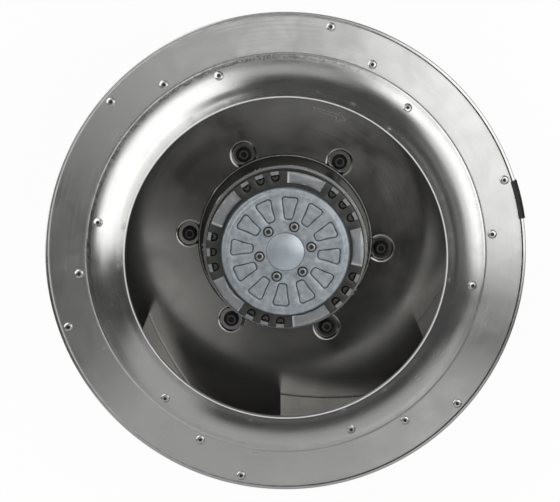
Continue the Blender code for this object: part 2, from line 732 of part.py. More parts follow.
def preload_spring():
    """Wave washer that presses the rear bearing's outer ring backward."""
    middle = SPRING_TOP_Z - SPRING_HEIGHT / 2
    sway = (SPRING_HEIGHT - SPRING_SHEET) / 2
    inner = BEARING_RADIUS - SPRING_WIDTH
    sections = []
    for i in range(SMALL_STEPS):
        angle = 2 * math.pi * i / SMALL_STEPS
        height = middle + sway * math.cos(SPRING_WAVES * angle)
        sections.append([(*polar(radius, angle), height + lift * SPRING_SHEET / 2)
                         for radius, lift in ((inner, -1), (BEARING_RADIUS, -1),
                                              (BEARING_RADIUS, 1), (inner, 1))])
    piece("preload_spring", loft(sections, closed=True), BRIGHT_STEEL, stator)


def rotor_shaft():
    """Shaft with the retaining collar below the rear bearing."""
    collar_top = REAR_BEARING_BOTTOM_Z - FIT_GAP
    collar_bottom = collar_top - COLLAR_WIDTH
    end = collar_bottom - SHAFT_STUB
    top = RING_FACE_Z - FIT_GAP
    mesh = turned([[(0.0, top), (SHAFT_RADIUS - SHAFT_CHAMFER, top),
                    (SHAFT_RADIUS, top - SHAFT_CHAMFER),
                    (SHAFT_RADIUS, collar_top), (COLLAR_RADIUS, collar_top),
                    (COLLAR_RADIUS, collar_bottom), (SHAFT_RADIUS, collar_bottom),
                    (SHAFT_RADIUS, end), (0.0, end)]], BORE_STEPS)
    piece("rotor_shaft", mesh, BRIGHT_STEEL, impeller)


# Stator core and winding

def stator_core():
    """Lamination stack: a ring with flared teeth pointing outward."""
    root = CORE_BORE + CORE_BACK
    neck = CORE_RADIUS - TOOTH_TIP
    half_root = math.asin(TOOTH_WIDTH / 2 / root)
    half_neck = math.asin(TOOTH_WIDTH / 2 / neck)
    tooth = [polar(root, -half_root), polar(neck, -half_neck),
             polar(neck + TOOTH_TIP / 3, -TOOTH_TIP_ANGLE), polar(CORE_RADIUS, -TOOTH_TIP_ANGLE),
             polar(CORE_RADIUS, 0.0), polar(CORE_RADIUS, TOOTH_TIP_ANGLE),
             polar(neck + TOOTH_TIP / 3, TOOTH_TIP_ANGLE), polar(neck, half_neck),
             polar(root, half_root)]
    outline = []
    for i in range(TOOTH_COUNT):
        outline += turned_about(tooth, 2 * math.pi * i / TOOTH_COUNT)
    mesh = extruded([outline, circle(CORE_BORE, HOUSING_STEPS)], CORE_BOTTOM_Z, CORE_TOP_Z)
    piece("stator_core", mesh, LAMINATION, stator)


def stator_winding():
    """End turns below and above the core, tied by the coil sides that run in the slots."""
    inner = CORE_BORE + CORE_BACK + COIL_MARGIN
    outer = CORE_RADIUS - TOOTH_TIP - COIL_MARGIN
    low = CORE_BOTTOM_Z - END_TURN_HEIGHT
    high = CORE_TOP_Z + END_TURN_HEIGHT
    mesh = turned([ring(inner, outer, low, CORE_BOTTOM_Z - FIT_GAP),
                   ring(inner, outer, CORE_TOP_Z + FIT_GAP, high)], SMALL_STEPS)
    winding = piece("stator_winding", mesh, COPPER, stator)
    inset = END_TURN_HEIGHT / 4
    centre = ((inner + outer) / 2, 0.0, (low + high) / 2)
    size = (outer - inner - 2 * COIL_MARGIN, COIL_BAR_WIDTH, high - low - 2 * inset)
    slots = boxes(box_matrix(centre, size, (2 * i + 1) * math.pi / TOOTH_COUNT)
                  for i in range(TOOTH_COUNT))
    boolean(winding, tool("coil_sides", slots), "UNION")


# Rotor

def magnet_ring():
    mesh = turned([ring(MAGNET_INNER, MAGNET_OUTER, CORE_BOTTOM_Z - MAGNET_OVERHANG,
                        CORE_TOP_Z + MAGNET_OVERHANG)], ROTOR_STEPS)
    piece("magnet_ring", mesh, FERRITE, impeller)


def rotor_yoke():
    mesh = turned([ring(YOKE_INNER, YOKE_OUTER, CORE_BOTTOM_Z - MAGNET_OVERHANG,
                        STEP_Z - FIT_GAP)], ROTOR_STEPS)
    piece("rotor_yoke", mesh, LAMINATION, impeller)


def rotor_housing():
    """Bell of the outer rotor: bolting flange, tapered wall, lip, shoulder, roof and shaft hub."""
    hub_z = TUBE_TOP_Z + HUB_GAP
    boss_z = FRONT_BEARING_TOP_Z + FIT_GAP
    bore = SHAFT_RADIUS + FIT_GAP
    inner_shoulder = MAGNET_OUTER + SHOULDER_INNER_GAP
    body = turned([[(SHOULDER_RADIUS, RING_FACE_Z), (SHOULDER_RADIUS, LIP_Z),
                    (LIP_RADIUS, LIP_Z), (ROTOR_BASE_RADIUS, FLANGE_TOP_Z),
                    (FLANGE_RADIUS, FLANGE_TOP_Z), (FLANGE_RADIUS, FLANGE_BOTTOM_Z),
                    (ROTOR_BORE, FLANGE_BOTTOM_Z), (ROTOR_BORE, STEP_Z),
                    (inner_shoulder, STEP_Z), (inner_shoulder, ROOF_UNDERSIDE_Z),
                    (HUB_RADIUS, ROOF_UNDERSIDE_Z), (HUB_RADIUS, hub_z),
                    (HUB_BOSS_RADIUS, hub_z), (HUB_BOSS_RADIUS, boss_z),
                    (bore, boss_z), (bore, RING_FACE_Z)]], ROTOR_STEPS)
    housing = piece("rotor_housing", body, DARK_CAST, impeller)
    boolean(housing, tool("label_plates", label_plates()), "UNION")
    boolean(housing, tool("ring_pockets", ring_pockets()), "DIFFERENCE")
    tapped = HUB_BOLT_RADIUS + FIT_GAP
    boolean(housing, tool("flange_holes", rods(hub_bolt_places(), tapped, tapped,
                                               FLANGE_BOTTOM_Z - tapped, FLANGE_TOP_Z + tapped,
                                               BOLT_STEPS)), "DIFFERENCE")
    boolean(housing, tool("screw_holes", cover_screw_holes()), "DIFFERENCE")


def group_angles():
    return [GROUP_PHASE + 2 * math.pi * i / POCKET_GROUPS for i in range(POCKET_GROUPS)]


def label_plates():
    """Bare raised plates on the ring face."""
    inner = COVER_RADIUS + PLATE_INNER_INSET
    outer = SHOULDER_RADIUS - PLATE_OUTER_INSET
    outlines = []
    for middle in group_angles():
        angles = [middle + PLATE_ARC * (i / ARC_STEPS - 0.5) for i in range(ARC_STEPS + 1)]
        outlines.append([polar(outer, angle) for angle in angles]
                        + [polar(inner, angle) for angle in reversed(angles)])
    return extruded(outlines, RING_FACE_Z - ROOF_THICKNESS / 2, RING_FACE_Z + PLATE_HEIGHT)


def ring_pockets():
    """U-shaped pockets between the plates, their round ends toward the shaft."""
    half = POCKET_WIDTH / 2
    inner = COVER_RADIUS + POCKET_INNER_INSET + half
    outer = SHOULDER_RADIUS - POCKET_OUTER_INSET
    bow = [math.pi * (0.5 + i / ARC_STEPS) for i in range(ARC_STEPS + 1)]
    pocket = [(inner + half * math.cos(angle), half * math.sin(angle)) for angle in bow]
    pocket += [(outer, -half), (outer, half)]
    outlines = []
    for middle in group_angles():
        opposite = middle + math.pi / POCKET_GROUPS
        for i in range(POCKETS_IN_GROUP):
            shift = (i - (POCKETS_IN_GROUP - 1) / 2) * POCKET_PITCH
            outlines.append(turned_about(pocket, opposite + shift))
    return extruded(outlines, RING_FACE_Z - POCKET_DEPTH, RING_FACE_Z + POCKET_DEPTH)


def cover_screw_places():
    return around(COVER_SCREWS, COVER_SCREW_CIRCLE, COVER_SCREW_PHASE)


def cover_screw_holes():
    """Holes through the cover's hub and the rotor's roof in one go."""
    radius = COVER_SCREW_RADIUS + FIT_GAP
    return rods(cover_screw_places(), radius, radius, ROOF_UNDERSIDE_Z - radius,
                COVER_FACE_Z + radius, RIVET_STEPS)


def rotor_cover():
    """Cast front cover: an upturned dish with a solid hub, a cap recess and shallow pockets."""
    under = COVER_FACE_Z - COVER_TOP
    recess = CAP_RADIUS + CAP_SIDE_GAP
    recess_z = COVER_FACE_Z - CAP_RECESS
    inner = COVER_RADIUS - COVER_SKIRT
    body = turned([[(0.0, recess_z), (recess, recess_z), (recess, COVER_FACE_Z),
                    (COVER_RADIUS - COVER_CHAMFER, COVER_FACE_Z),
                    (COVER_RADIUS, COVER_FACE_Z - COVER_CHAMFER), (COVER_RADIUS, COVER_BOTTOM_Z),
                    (inner, COVER_BOTTOM_Z), (inner, under), (COVER_HUB_RADIUS, under),
                    (COVER_HUB_RADIUS, COVER_BOTTOM_Z), (0.0, COVER_BOTTOM_Z)]], ROTOR_STEPS)
    cover = piece("rotor_cover", body, COVER_CAST, impeller)
    boolean(cover, tool("cover_pockets", cover_pockets()), "DIFFERENCE")
    boolean(cover, bpy.data.objects["screw_holes"], "DIFFERENCE")


def cover_pockets():
    """Rounded trapezoids that widen outward."""
    outer = COVER_RADIUS - COVER_POCKET_RIM
    inner_half = COVER_POCKET_INNER_WIDTH / 2
    outer_half = COVER_POCKET_OUTER_WIDTH / 2
    corners = [(COVER_POCKET_INNER, -inner_half), (outer, -outer_half),
               (outer, outer_half), (COVER_POCKET_INNER, inner_half)]
    pocket = rounded(corners, COVER_POCKET_CORNER)
    outlines = [turned_about(pocket, COVER_POCKET_PHASE + 2 * math.pi * i / COVER_POCKETS)
                for i in range(COVER_POCKETS)]
    return extruded(outlines, COVER_FACE_Z - COVER_POCKET_DEPTH,
                    COVER_FACE_Z + COVER_POCKET_DEPTH)


def socket_screw(radius, head_radius, head_height, flange_radius, flange, length, socket, depth,
                 steps):
    """Screw about Z whose head seats at z = 0: socket, head, flange and shank."""
    top = flange + head_height
    chamfer = head_height / 5
    return turned([[(0.0, top - depth), (socket, top - depth), (socket, top),
                    (head_radius - chamfer, top), (head_radius, top - chamfer),
                    (head_radius, flange), (flange_radius, flange), (flange_radius, 0.0),
                    (radius, 0.0), (radius, -length), (0.0, -length)]], steps)


def cover_screws():
    seat = COVER_FACE_Z + FIT_GAP
    end = ROOF_UNDERSIDE_Z + COVER_SCREW_END_GAP
    mesh = socket_screw(COVER_SCREW_RADIUS, COVER_SCREW_HEAD_RADIUS, COVER_SCREW_HEAD_HEIGHT,
                        COVER_SCREW_FLANGE_RADIUS, COVER_SCREW_FLANGE, seat - end,
                        COVER_SCREW_SOCKET_RADIUS, COVER_SCREW_SOCKET_DEPTH, RIVET_STEPS)
    for number, (x, y) in enumerate(cover_screw_places(), 1):
        piece(f"cover_screw_{number}", mesh, BLACK_STEEL, impeller,
              Matrix.Translation((x, y, seat)))


def centre_cap():
    """Plug with an elliptical crown that stands a little above the cover."""
    bottom = COVER_FACE_Z - CAP_RECESS + FIT_GAP
    top = COVER_FACE_Z + CAP_RISE
    profile = []
    for degrees in CAP_ANGLES:
        angle = math.radians(degrees)
        profile.append((CAP_RADIUS * math.sin(angle), top - CAP_CROWN * (1 - math.cos(angle))))
    profile += [(CAP_RADIUS, bottom), (0.0, bottom)]
    piece("centre_cap", turned([profile], SMALL_STEPS), CAP_GREY, impeller)


# Back plate and its bolts

def hub_bolt_places():
    return around(HUB_BOLTS, BOLT_CIRCLE, HUB_BOLT_PHASE)


def back_plate():
    """Flat disc with a bent edge and six pressed dimples that seat on the rotor's flange."""
    rear = PLATE_FRONT_Z - PLATE_SHEET
    low = PLATE_FRONT_Z - PLATE_EDGE_DROP - PLATE_EDGE_BEND
    bend = PLATE_FRONT_Z - PLATE_EDGE_BEND
    inside = PLATE_RADIUS - PLATE_SHEET
    first_hole = PLATE_HOLE_RADIUS - DIMPLE_FLOOR_RADIUS
    body = turned([[(PLATE_RADIUS - PLATE_EDGE_BEND, PLATE_FRONT_Z), (PLATE_RADIUS, bend),
                    (PLATE_RADIUS, low), (inside, low), (inside, rear), (first_hole, rear),
                    (first_hole, PLATE_FRONT_Z)]], WHEEL_STEPS)
    plate = piece("back_plate", body, ALUMINIUM_SHEET, impeller)
    places = hub_bolt_places()
    wall = PLATE_SHEET
    boolean(plate, tool("dimple_backs", rods(places, DIMPLE_FLOOR_RADIUS + wall,
                                             DIMPLE_RADIUS + wall, DIMPLE_REAR_Z,
                                             PLATE_FRONT_Z - PLATE_SHEET / 2, BORE_STEPS)),
            "UNION")
    slope = (DIMPLE_RADIUS - DIMPLE_FLOOR_RADIUS) / DIMPLE_DEPTH
    above = PLATE_FRONT_Z + PLATE_SHEET
    boolean(plate, tool("dimple_fronts", rods(places, DIMPLE_FLOOR_RADIUS,
                                              DIMPLE_RADIUS + slope * PLATE_SHEET,
                                              BOLT_SEAT_Z, above, BORE_STEPS)), "DIFFERENCE")
    below = DIMPLE_REAR_Z - PLATE_SHEET
    clearance = HUB_BOLT_RADIUS + HUB_BOLT_CLEARANCE
    centre_hole = rods([(0.0, 0.0)], PLATE_HOLE_RADIUS, PLATE_HOLE_RADIUS, below, above,
                       WHEEL_STEPS)
    bolt_holes = rods(places, clearance, clearance, below, above, BOLT_STEPS)
    boolean(plate, tool("plate_holes", joined([centre_hole, bolt_holes])), "DIFFERENCE")


def hub_bolts():
    seat = BOLT_SEAT_Z + FIT_GAP
    end = FLANGE_BOTTOM_Z - HUB_BOLT_TAIL
    mesh = socket_screw(HUB_BOLT_RADIUS, HUB_BOLT_HEAD_RADIUS, HUB_BOLT_HEAD_HEIGHT,
                        HUB_BOLT_FLANGE_RADIUS, HUB_BOLT_FLANGE, seat - end,
                        HUB_BOLT_SOCKET_RADIUS, HUB_BOLT_SOCKET_DEPTH, BOLT_STEPS)
    for number, (x, y) in enumerate(hub_bolt_places(), 1):
        piece(f"hub_bolt_{number}", mesh, BLACK_STEEL, impeller, Matrix.Translation((x, y, seat)))


# Inlet shroud

def flow_height(radius):
    """Height of the shroud's flow side: a quarter ellipse, then a ring that falls slightly."""
    if radius < CREASE_RADIUS:
        share = min((CREASE_RADIUS - radius) / BELL_WIDTH, 1.0)
        return BELL_CENTRE_Z - BELL_DEPTH * math.sqrt(1.0 - share ** 2)
    return CREASE_Z - RING_FALL * (radius - CREASE_RADIUS) / (RING_END_RADIUS - CREASE_RADIUS)


def flow_normal(radius):
    """Unit vector (radial, upward) that leaves the flow side through the sheet."""
    step = SHEET / 20
    slope = (flow_height(radius + step) - flow_height(radius - step)) / (2 * step)
    return Vector((-slope, 1.0)).normalized()


def inlet_shroud():
    """Spun sheet: short neck, bell, flat ring and an edge turned down toward the back plate."""
    profile = [(INLET_RADIUS, RIM_Z)]
    for degrees in BELL_ANGLES:
        angle = math.radians(degrees)
        profile.append((CREASE_RADIUS - BELL_WIDTH * math.cos(angle),
                        BELL_CENTRE_Z - BELL_DEPTH * math.sin(angle)))
    ring_end_z = flow_height(RING_END_RADIUS)
    for angle in (0.0, math.pi / 4, math.pi / 2):
        profile.append((RING_END_RADIUS + EDGE_BEND * math.sin(angle),
                        ring_end_z - EDGE_BEND * (1.0 - math.cos(angle))))
    profile.append((RING_END_RADIUS + EDGE_BEND, ring_end_z - EDGE_DROP))
    mesh = bpy.data.meshes.new("inlet_shroud")
    mesh.from_pydata([(radius, 0.0, height) for radius, height in profile],
                     [(i, i + 1) for i in range(len(profile) - 1)], [])
    shroud = screwed(piece("inlet_shroud", mesh, ALUMINIUM_SHEET, impeller), WHEEL_STEPS)
    sheet = shroud.modifiers.new("sheet", "SOLIDIFY")
    sheet.thickness = SHEET
    sheet.offset = 1.0
    sheet.use_even_offset = True
    boolean(shroud, bpy.data.objects["rivet_holes"], "DIFFERENCE")


# Blades and rivets

def blade_arc():
    """Centre, radius and length of the blade's plan arc for a blade that starts at angle 0."""
    inlet = BLADE_INLET_RADIUS
    tip = BLADE_TIP_RADIUS
    radius = (tip ** 2 - inlet ** 2) / (2 * (tip * math.cos(BLADE_OUTLET_ANGLE)
                                             - inlet * math.cos(BLADE_INLET_ANGLE)))
    along = Vector((math.sin(BLADE_INLET_ANGLE), math.cos(BLADE_INLET_ANGLE)))
    start = Vector((inlet, 0.0))
    centre = start + radius * Vector((-along.y, along.x))
    # The tip lies where the arc meets the tip circle about the shaft
    distance = centre.length
    cosine = (tip ** 2 - distance ** 2 - radius ** 2) / (2 * distance * radius)
    from_centre = start - centre
    start_angle = math.atan2(from_centre.y, from_centre.x)
    tip_angle = math.atan2(centre.y, centre.x) - math.acos(cosine)
    sweep = (tip_angle - start_angle) % (2 * math.pi)
    return centre, radius, radius * sweep


def blade_point(arc, distance):
    """Point on the suction face at a distance along the blade, and the outward normal."""
    centre, radius, _ = arc
    from_centre = Vector((BLADE_INLET_RADIUS, 0.0)) - centre
    angle = math.atan2(from_centre.y, from_centre.x) + distance / radius
    normal = Vector((math.cos(angle), math.sin(angle)))
    return centre + radius * normal, normal


def flange_width(arc, distance, full):
    """Width that grows from the web and stays inside the wheel's edge near the tip."""
    share = (distance - FLANGE_START) / (FLANGE_FULL - FLANGE_START)
    share = min(max(share, 0.0), 1.0)
    least = BLADE_SHEET + FLANGE_ROOT
    width = least + (full - least) * share
    point, normal = blade_point(arc, distance)
    limit = BLADE_TIP_RADIUS + FLANGE_TIP_MARGIN
    along = point.dot(normal)
    room = -along + math.sqrt(along ** 2 + limit ** 2 - point.length ** 2)
    return max(min(width, room), least)


def blade_section(arc, distance):
    """Closed C-shaped section: foot on the back plate, web, and top flange under the shroud."""
    point, normal = blade_point(arc, distance)
    # A facet of the shroud lies nearer the shaft than the true circle does
    facet = math.cos(math.pi / WHEEL_STEPS)

    def top(offset):
        radius = (point + offset * normal).length / facet
        return flow_height(radius) - BLADE_GAP / flow_normal(radius).y

    sheet = BLADE_SHEET
    width = flange_width(arc, distance, BLADE_FLANGE)
    foot = flange_width(arc, distance, BLADE_FOOT)
    stops = [sheet + (width - sheet) * i / 3 for i in range(4)]
    outline = [(0.0, BLADE_FOOT_Z), (0.0, top(0.0))]
    outline += [(offset, top(offset)) for offset in stops]
    outline += [(offset, top(offset) - sheet) for offset in reversed(stops)]
    outline += [(sheet, BLADE_FOOT_Z + sheet), (foot, BLADE_FOOT_Z + sheet), (foot, BLADE_FOOT_Z)]
    return [(*(point + offset * normal), height) for offset, height in outline]


def blade_angles():
    return [BLADE_PHASE + 2 * math.pi * i / BLADE_COUNT for i in range(BLADE_COUNT)]


def blades():
    arc = blade_arc()
    length = arc[2]
    sections = [blade_section(arc, length * i / (BLADE_STATIONS - 1))
                for i in range(BLADE_STATIONS)]
    mesh = loft(sections)
    holes = bpy.data.objects["rivet_holes"]
    for number, angle in enumerate(blade_angles(), 1):
        blade = piece(f"blade_{number}", mesh, ALUMINIUM_SHEET, impeller,
                      Matrix.Rotation(angle, 4, "Z"))
        boolean(blade, holes, "DIFFERENCE")


def rivet_place(number):
    """Radius and angle of a rivet, counted from the tip, for a blade that starts at angle 0."""
    arc = blade_arc()
    distance = arc[2] - RIVET_TIP_DISTANCE - number * RIVET_PITCH
    point, normal = blade_point(arc, distance)
    place = point + RIVET_OFFSET * normal
    return place.length, math.atan2(place.y, place.x)


def rivet_matrices():
    """Seat each rivet on the outside of the shroud, its own +Z along the surface normal."""
    matrices = []
    for blade_angle in blade_angles():
        for number in range(RIVETS_PER_BLADE):
            radius, angle = rivet_place(number)
            lean = flow_normal(radius)
            seat = Vector((radius, flow_height(radius))) + lean * SHEET
            turn = Matrix.Rotation(blade_angle + angle, 4, "Z")
            tilt = Matrix.Rotation(math.atan2(lean.x, lean.y), 4, "Y")
            matrices.append(turn @ Matrix.Translation((seat.x, 0.0, seat.y)) @ tilt)
    return matrices


def rivet_grip():
    return SHEET + BLADE_GAP + BLADE_SHEET + RIVET_SEAT_GAP


def rivet_holes():
    """One cutter with a rod at every rivet, shared by the shroud and the blades."""
    radius = RIVET_RADIUS + FIT_GAP
    reach = rivet_grip() + BLADE_SHEET
    holes = []
    for matrix in rivet_matrices():
        hole = rods([(0.0, 0.0)], radius, radius, -reach, SHEET * 2, RIVET_STEPS)
        hole.transform(matrix)
        holes.append(hole)
    return joined(holes)


def shroud_rivets():
    """Blind rivets: domed head with the hole of the drawn mandrel, shank and bulged tail."""
    seat = RIVET_SEAT_GAP
    crown = seat + RIVET_HEAD_HEIGHT
    tail = -rivet_grip()
    mesh = turned([[(0.0, crown - RIVET_HOLE_DEPTH), (RIVET_HOLE_RADIUS, crown - RIVET_HOLE_DEPTH),
                    (RIVET_HOLE_RADIUS, crown), (RIVET_CROWN_RADIUS, crown - RIVET_CROWN_DROP),
                    (RIVET_HEAD_RADIUS, seat), (RIVET_RADIUS, seat), (RIVET_RADIUS, tail),
                    (RIVET_TAIL_RADIUS, tail - RIVET_TAIL_LENGTH / 2),
                    (0.0, tail - RIVET_TAIL_LENGTH)]],
                  RIVET_STEPS)
    for number, matrix in enumerate(rivet_matrices(), 1):
        piece(f"shroud_rivet_{number}", mesh, BRIGHT_STEEL, impeller, matrix)


def balance_clip():
    """Spring clip hooked over the turned edge of the shroud, just before an outer rivet."""
    rivet_radius, rivet_angle = rivet_place(0)
    last = blade_angles()[-1] + rivet_angle - CLIP_RIVET_DISTANCE / rivet_radius
    sweep = CLIP_LENGTH / WHEEL_RADIUS
    outside = WHEEL_RADIUS + FIT_GAP
    outer = outside + CLIP_SHEET
    seat = flow_height(RING_END_RADIUS) + SHEET + 2 * FIT_GAP
    edge = flow_height(RING_END_RADIUS) - EDGE_DROP - FIT_GAP
    hook = outer - CLIP_HOOK - CLIP_SHEET
    section = [(RING_END_RADIUS, seat + CLIP_SHEET),
               (WHEEL_RADIUS - CLIP_SHEET, seat + CLIP_SHEET),
               (outer, seat - CLIP_SHEET), (outer, edge - CLIP_SHEET),
               (hook, edge - CLIP_SHEET), (hook, edge), (outside, edge),
               (outside, seat - CLIP_SHEET), (RING_END_RADIUS, seat)]
    sections = []
    for i in range(CLIP_STATIONS):
        angle = last - sweep * (1 - i / (CLIP_STATIONS - 1))
        sections.append([(*polar(radius, angle), height) for radius, height in section])
    piece("balance_clip", loft(sections), BLACK_STEEL, impeller)


clear_scene()
parts = new_collection("plug_fan")
cutters = new_collection("cutters")
stator = new_empty("stator")
impeller = new_empty("impeller")

stator_housing()
electronics_cover()
cover_gasket()
circuit_board()
cable_glands()
stator_core()
stator_winding()
preload_spring()
bearing("rear", REAR_BEARING_BOTTOM_Z)
bearing("front", FRONT_BEARING_TOP_Z - BEARING_WIDTH)
rotor_shaft()
magnet_ring()
rotor_yoke()
rotor_housing()
rotor_cover()
cover_screws()
centre_cap()
back_plate()
hub_bolts()
tool("rivet_holes", rivet_holes())
inlet_shroud()
blades()
shroud_rivets()
balance_clip()
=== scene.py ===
import math

import bmesh
import bpy
import numpy as np
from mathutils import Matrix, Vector


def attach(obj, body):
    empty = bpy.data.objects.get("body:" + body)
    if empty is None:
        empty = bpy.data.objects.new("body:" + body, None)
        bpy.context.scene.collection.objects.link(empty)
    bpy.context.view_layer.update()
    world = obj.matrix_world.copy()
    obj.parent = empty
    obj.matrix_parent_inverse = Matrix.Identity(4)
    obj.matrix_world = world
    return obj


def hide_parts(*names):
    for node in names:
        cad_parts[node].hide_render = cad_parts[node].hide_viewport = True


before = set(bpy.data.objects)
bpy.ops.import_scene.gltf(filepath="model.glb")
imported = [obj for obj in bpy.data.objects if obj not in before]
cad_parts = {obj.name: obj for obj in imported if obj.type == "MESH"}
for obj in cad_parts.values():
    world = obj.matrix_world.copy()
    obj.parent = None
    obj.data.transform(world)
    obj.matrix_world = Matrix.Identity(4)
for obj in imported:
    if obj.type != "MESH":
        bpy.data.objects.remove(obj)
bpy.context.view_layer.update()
print("frame loaded")

turn = 2 * math.pi
weldDistance = 0.000002

# Sizes that several pieces share, in metres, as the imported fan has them
fan = {
    "plateFront": 0.104,
    "plateSheet": 0.0025,
    "plateHole": 0.0965,
    "boltCircle": 0.106,
    "boltPhase": math.radians(-4.4),
    "boltSeat": 0.1003,
    "plateRadius": 0.251,
    "inletRadius": 0.1665,
    "rim": 0.267,
    "bellCentre": 0.263,
    "bellWidth": 0.0445,
    "bellDepth": 0.040,
    "crease": 0.211,
    "ringEnd": 0.2485,
    "ringFall": 0.0015,
    "shroudSheet": 0.002,
    "bladePhase": math.radians(28.3),
    "ringFace": 0.186,
    "coverFace": 0.205,
}


# Surfaces as arrays

def gridQuads(rows, columns, wrapRows=False, wrapColumns=False):
    # Quad (i, j) joins (i, j), (i+1, j), (i+1, j+1), (i, j+1); a wrapped side ends on its first line
    i, j = np.meshgrid(np.arange(rows - (not wrapRows)), np.arange(columns - (not wrapColumns)),
                       indexing="ij")
    below = (i + 1) % rows
    right = (j + 1) % columns
    corners = [i * columns + j, below * columns + j, below * columns + right, i * columns + right]
    return np.stack(corners, axis=-1).reshape(-1, 4)


def gridSurface(points, wrapRows=False, wrapColumns=False):
    # A rows x columns x 3 array of points becomes (vertices, quads)
    rows, columns = points.shape[:2]
    return points.reshape(-1, 3), gridQuads(rows, columns, wrapRows, wrapColumns)


def revolved(profile, steps, closed=False, start=0.0, sweep=turn):
    # Each (r, z) of the profile goes round Z: x = r cos a, y = r sin a
    profile = np.asarray(profile, float)
    whole = abs(sweep - turn) < 1e-9
    angles = start + sweep * np.arange(steps + (not whole)) / steps
    radius = profile[:, 0:1]
    points = np.stack([radius * np.cos(angles), radius * np.sin(angles),
                       profile[:, 1:2] + 0 * angles], axis=-1)
    return gridSurface(points, wrapRows=closed, wrapColumns=whole)


def evenAngles(count, phase=0.0):
    return phase + turn * np.arange(count) / count


def unitVectors(angles):
    return np.stack([np.cos(angles), np.sin(angles)], -1)


def lifted(flat, height):
    # (x, y) rows get one height for all or one for each
    return np.column_stack([flat, np.broadcast_to(height, len(flat))])


def onCircle(radius, angles, height):
    return lifted(radius * unitVectors(angles), height)


def turnedRing(look):
    return revolved(look["profile"], look["steps"], closed=True)


def turnedCopies(surface, angles):
    # The same surface once for each angle about Z
    points, quads = surface
    return [(points @ np.array([[c, s, 0], [-s, c, 0], [0, 0, 1]]), quads)
            for c, s in unitVectors(np.array(angles))]


def placedCopies(surface, places, normals=None):
    # The surface stands at each place with its own +Z along the normal, upright if none is given
    points, quads = surface
    copies = []
    for place, normal in zip(places, [(0, 0, 1)] * len(places) if normals is None else normals):
        rotation = np.array(Vector((0, 0, 1)).rotation_difference(Vector(normal)).to_matrix())
        copies.append((points @ rotation.T + place, quads))
    return copies


def filledMesh(name, points, quads):
    mesh = bpy.data.meshes.new(name)
    mesh.vertices.add(len(points))
    mesh.vertices.foreach_set("co", points.ravel())
    mesh.loops.add(quads.size)
    mesh.loops.foreach_set("vertex_index", quads.ravel())
    mesh.polygons.add(len(quads))
    mesh.polygons.foreach_set("loop_start", np.arange(0, quads.size, 4))
    mesh.update(calc_edges=True)
    return mesh


def meshArray(vectors, key):
    # Positions or normals of a mesh as rows of three
    values = np.empty(len(vectors) * 3)
    vectors.foreach_get(key, values)
    return values.reshape(-1, 3)


def joinedMesh(name, surfaces, sharp=35.0, recalculate=True):
    # The arrays are laid end to end, equal points are welded, and the normals made to face out
    offsets = np.cumsum([0] + [len(points) for points, quads in surfaces[:-1]])
    points = np.concatenate([points for points, quads in surfaces])
    quads = np.concatenate([quads + offset for (_, quads), offset in zip(surfaces, offsets)])
    mesh = filledMesh(name, points, quads)
    work = bmesh.new()
    work.from_mesh(mesh)
    bmesh.ops.remove_doubles(work, verts=work.verts, dist=weldDistance)
    if recalculate:
        bmesh.ops.recalc_face_normals(work, faces=work.faces)
    work.to_mesh(mesh)
    work.free()
    mesh.shade_smooth()
    mesh.set_sharp_from_angle(angle=math.radians(sharp))
    return mesh


def addObject(name, data):
    made = bpy.data.objects.new(name, data)
    bpy.context.scene.collection.objects.link(made)
    return made


def addPiece(name, surfaces, material, stands=(), sharp=35.0, body="impeller"):
    mesh = joinedMesh(name, surfaces, sharp)
    mesh.materials.append(material)
    made = addObject(name, mesh)
    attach(made, body)
    if stands:
        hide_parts(*stands)
    print("  ", name, len(mesh.polygons), "faces")
    return made


def rounded(corners, radius, steps=6):
    # Each corner of the (x, y) outline becomes an arc between its two tangent points
    outline = []
    count = len(corners)
    for i in range(count):
        corner = Vector(corners[i])
        before = (Vector(corners[i - 1]) - corner).normalized()
        after = (Vector(corners[(i + 1) % count]) - corner).normalized()
        half = before.angle(after) / 2
        centre = corner + (before + after).normalized() * radius / math.sin(half)
        first = corner + before * radius / math.tan(half) - centre
        last = corner + after * radius / math.tan(half) - centre
        t = np.linspace(0, 1, steps + 1)[:, None]
        chord = np.array(first) * (1 - t) + np.array(last) * t
        arc = chord / np.linalg.norm(chord, axis=1, keepdims=True) * radius
        outline.append(arc + np.array(centre))
    return np.concatenate(outline)


def denser(outline, count=2000):
    # Points at equal steps along a closed (x, y) outline
    closed = np.concatenate([outline, outline[:1]])
    lengths = np.concatenate([[0], np.cumsum(np.linalg.norm(np.diff(closed, axis=0), axis=1))])
    steps = np.linspace(0, lengths[-1], count, endpoint=False)
    return np.stack([np.interp(steps, lengths, closed[:, k]) for k in range(2)], axis=-1)


def reach(outline, centre, angles):
    # Distance from the centre to a star-shaped outline in each direction
    spokes = denser(outline) - centre
    around = np.arctan2(spokes[:, 1], spokes[:, 0])
    order = np.argsort(around)
    return np.interp(angles, around[order], np.linalg.norm(spokes, axis=1)[order], period=turn)


def sectorOutline(inner, outer, half, arcSteps, sideSteps, innerSteps=None):
    # Closed outline of a piece of a ring: outer arc, side, inner arc, side
    a = np.linspace(-half, half, arcSteps + 1)[:-1]
    b = np.linspace(half, -half, (innerSteps or arcSteps) + 1)[:-1]
    side = np.linspace(0, 1, sideSteps + 1)[:-1, None]
    down = (outer + (inner - outer) * side) * unitVectors(half)
    up = (inner + (outer - inner) * side) * unitVectors(-half)
    return np.concatenate([outer * unitVectors(a), down, inner * unitVectors(b), up])


def ringRows(centre, unit, rings):
    # A ring is (distance, height) in each direction from the centre, as numbers or as arrays
    return [lifted(centre + unit * np.broadcast_to(distance, len(unit))[:, None], height)
            for distance, height in rings]


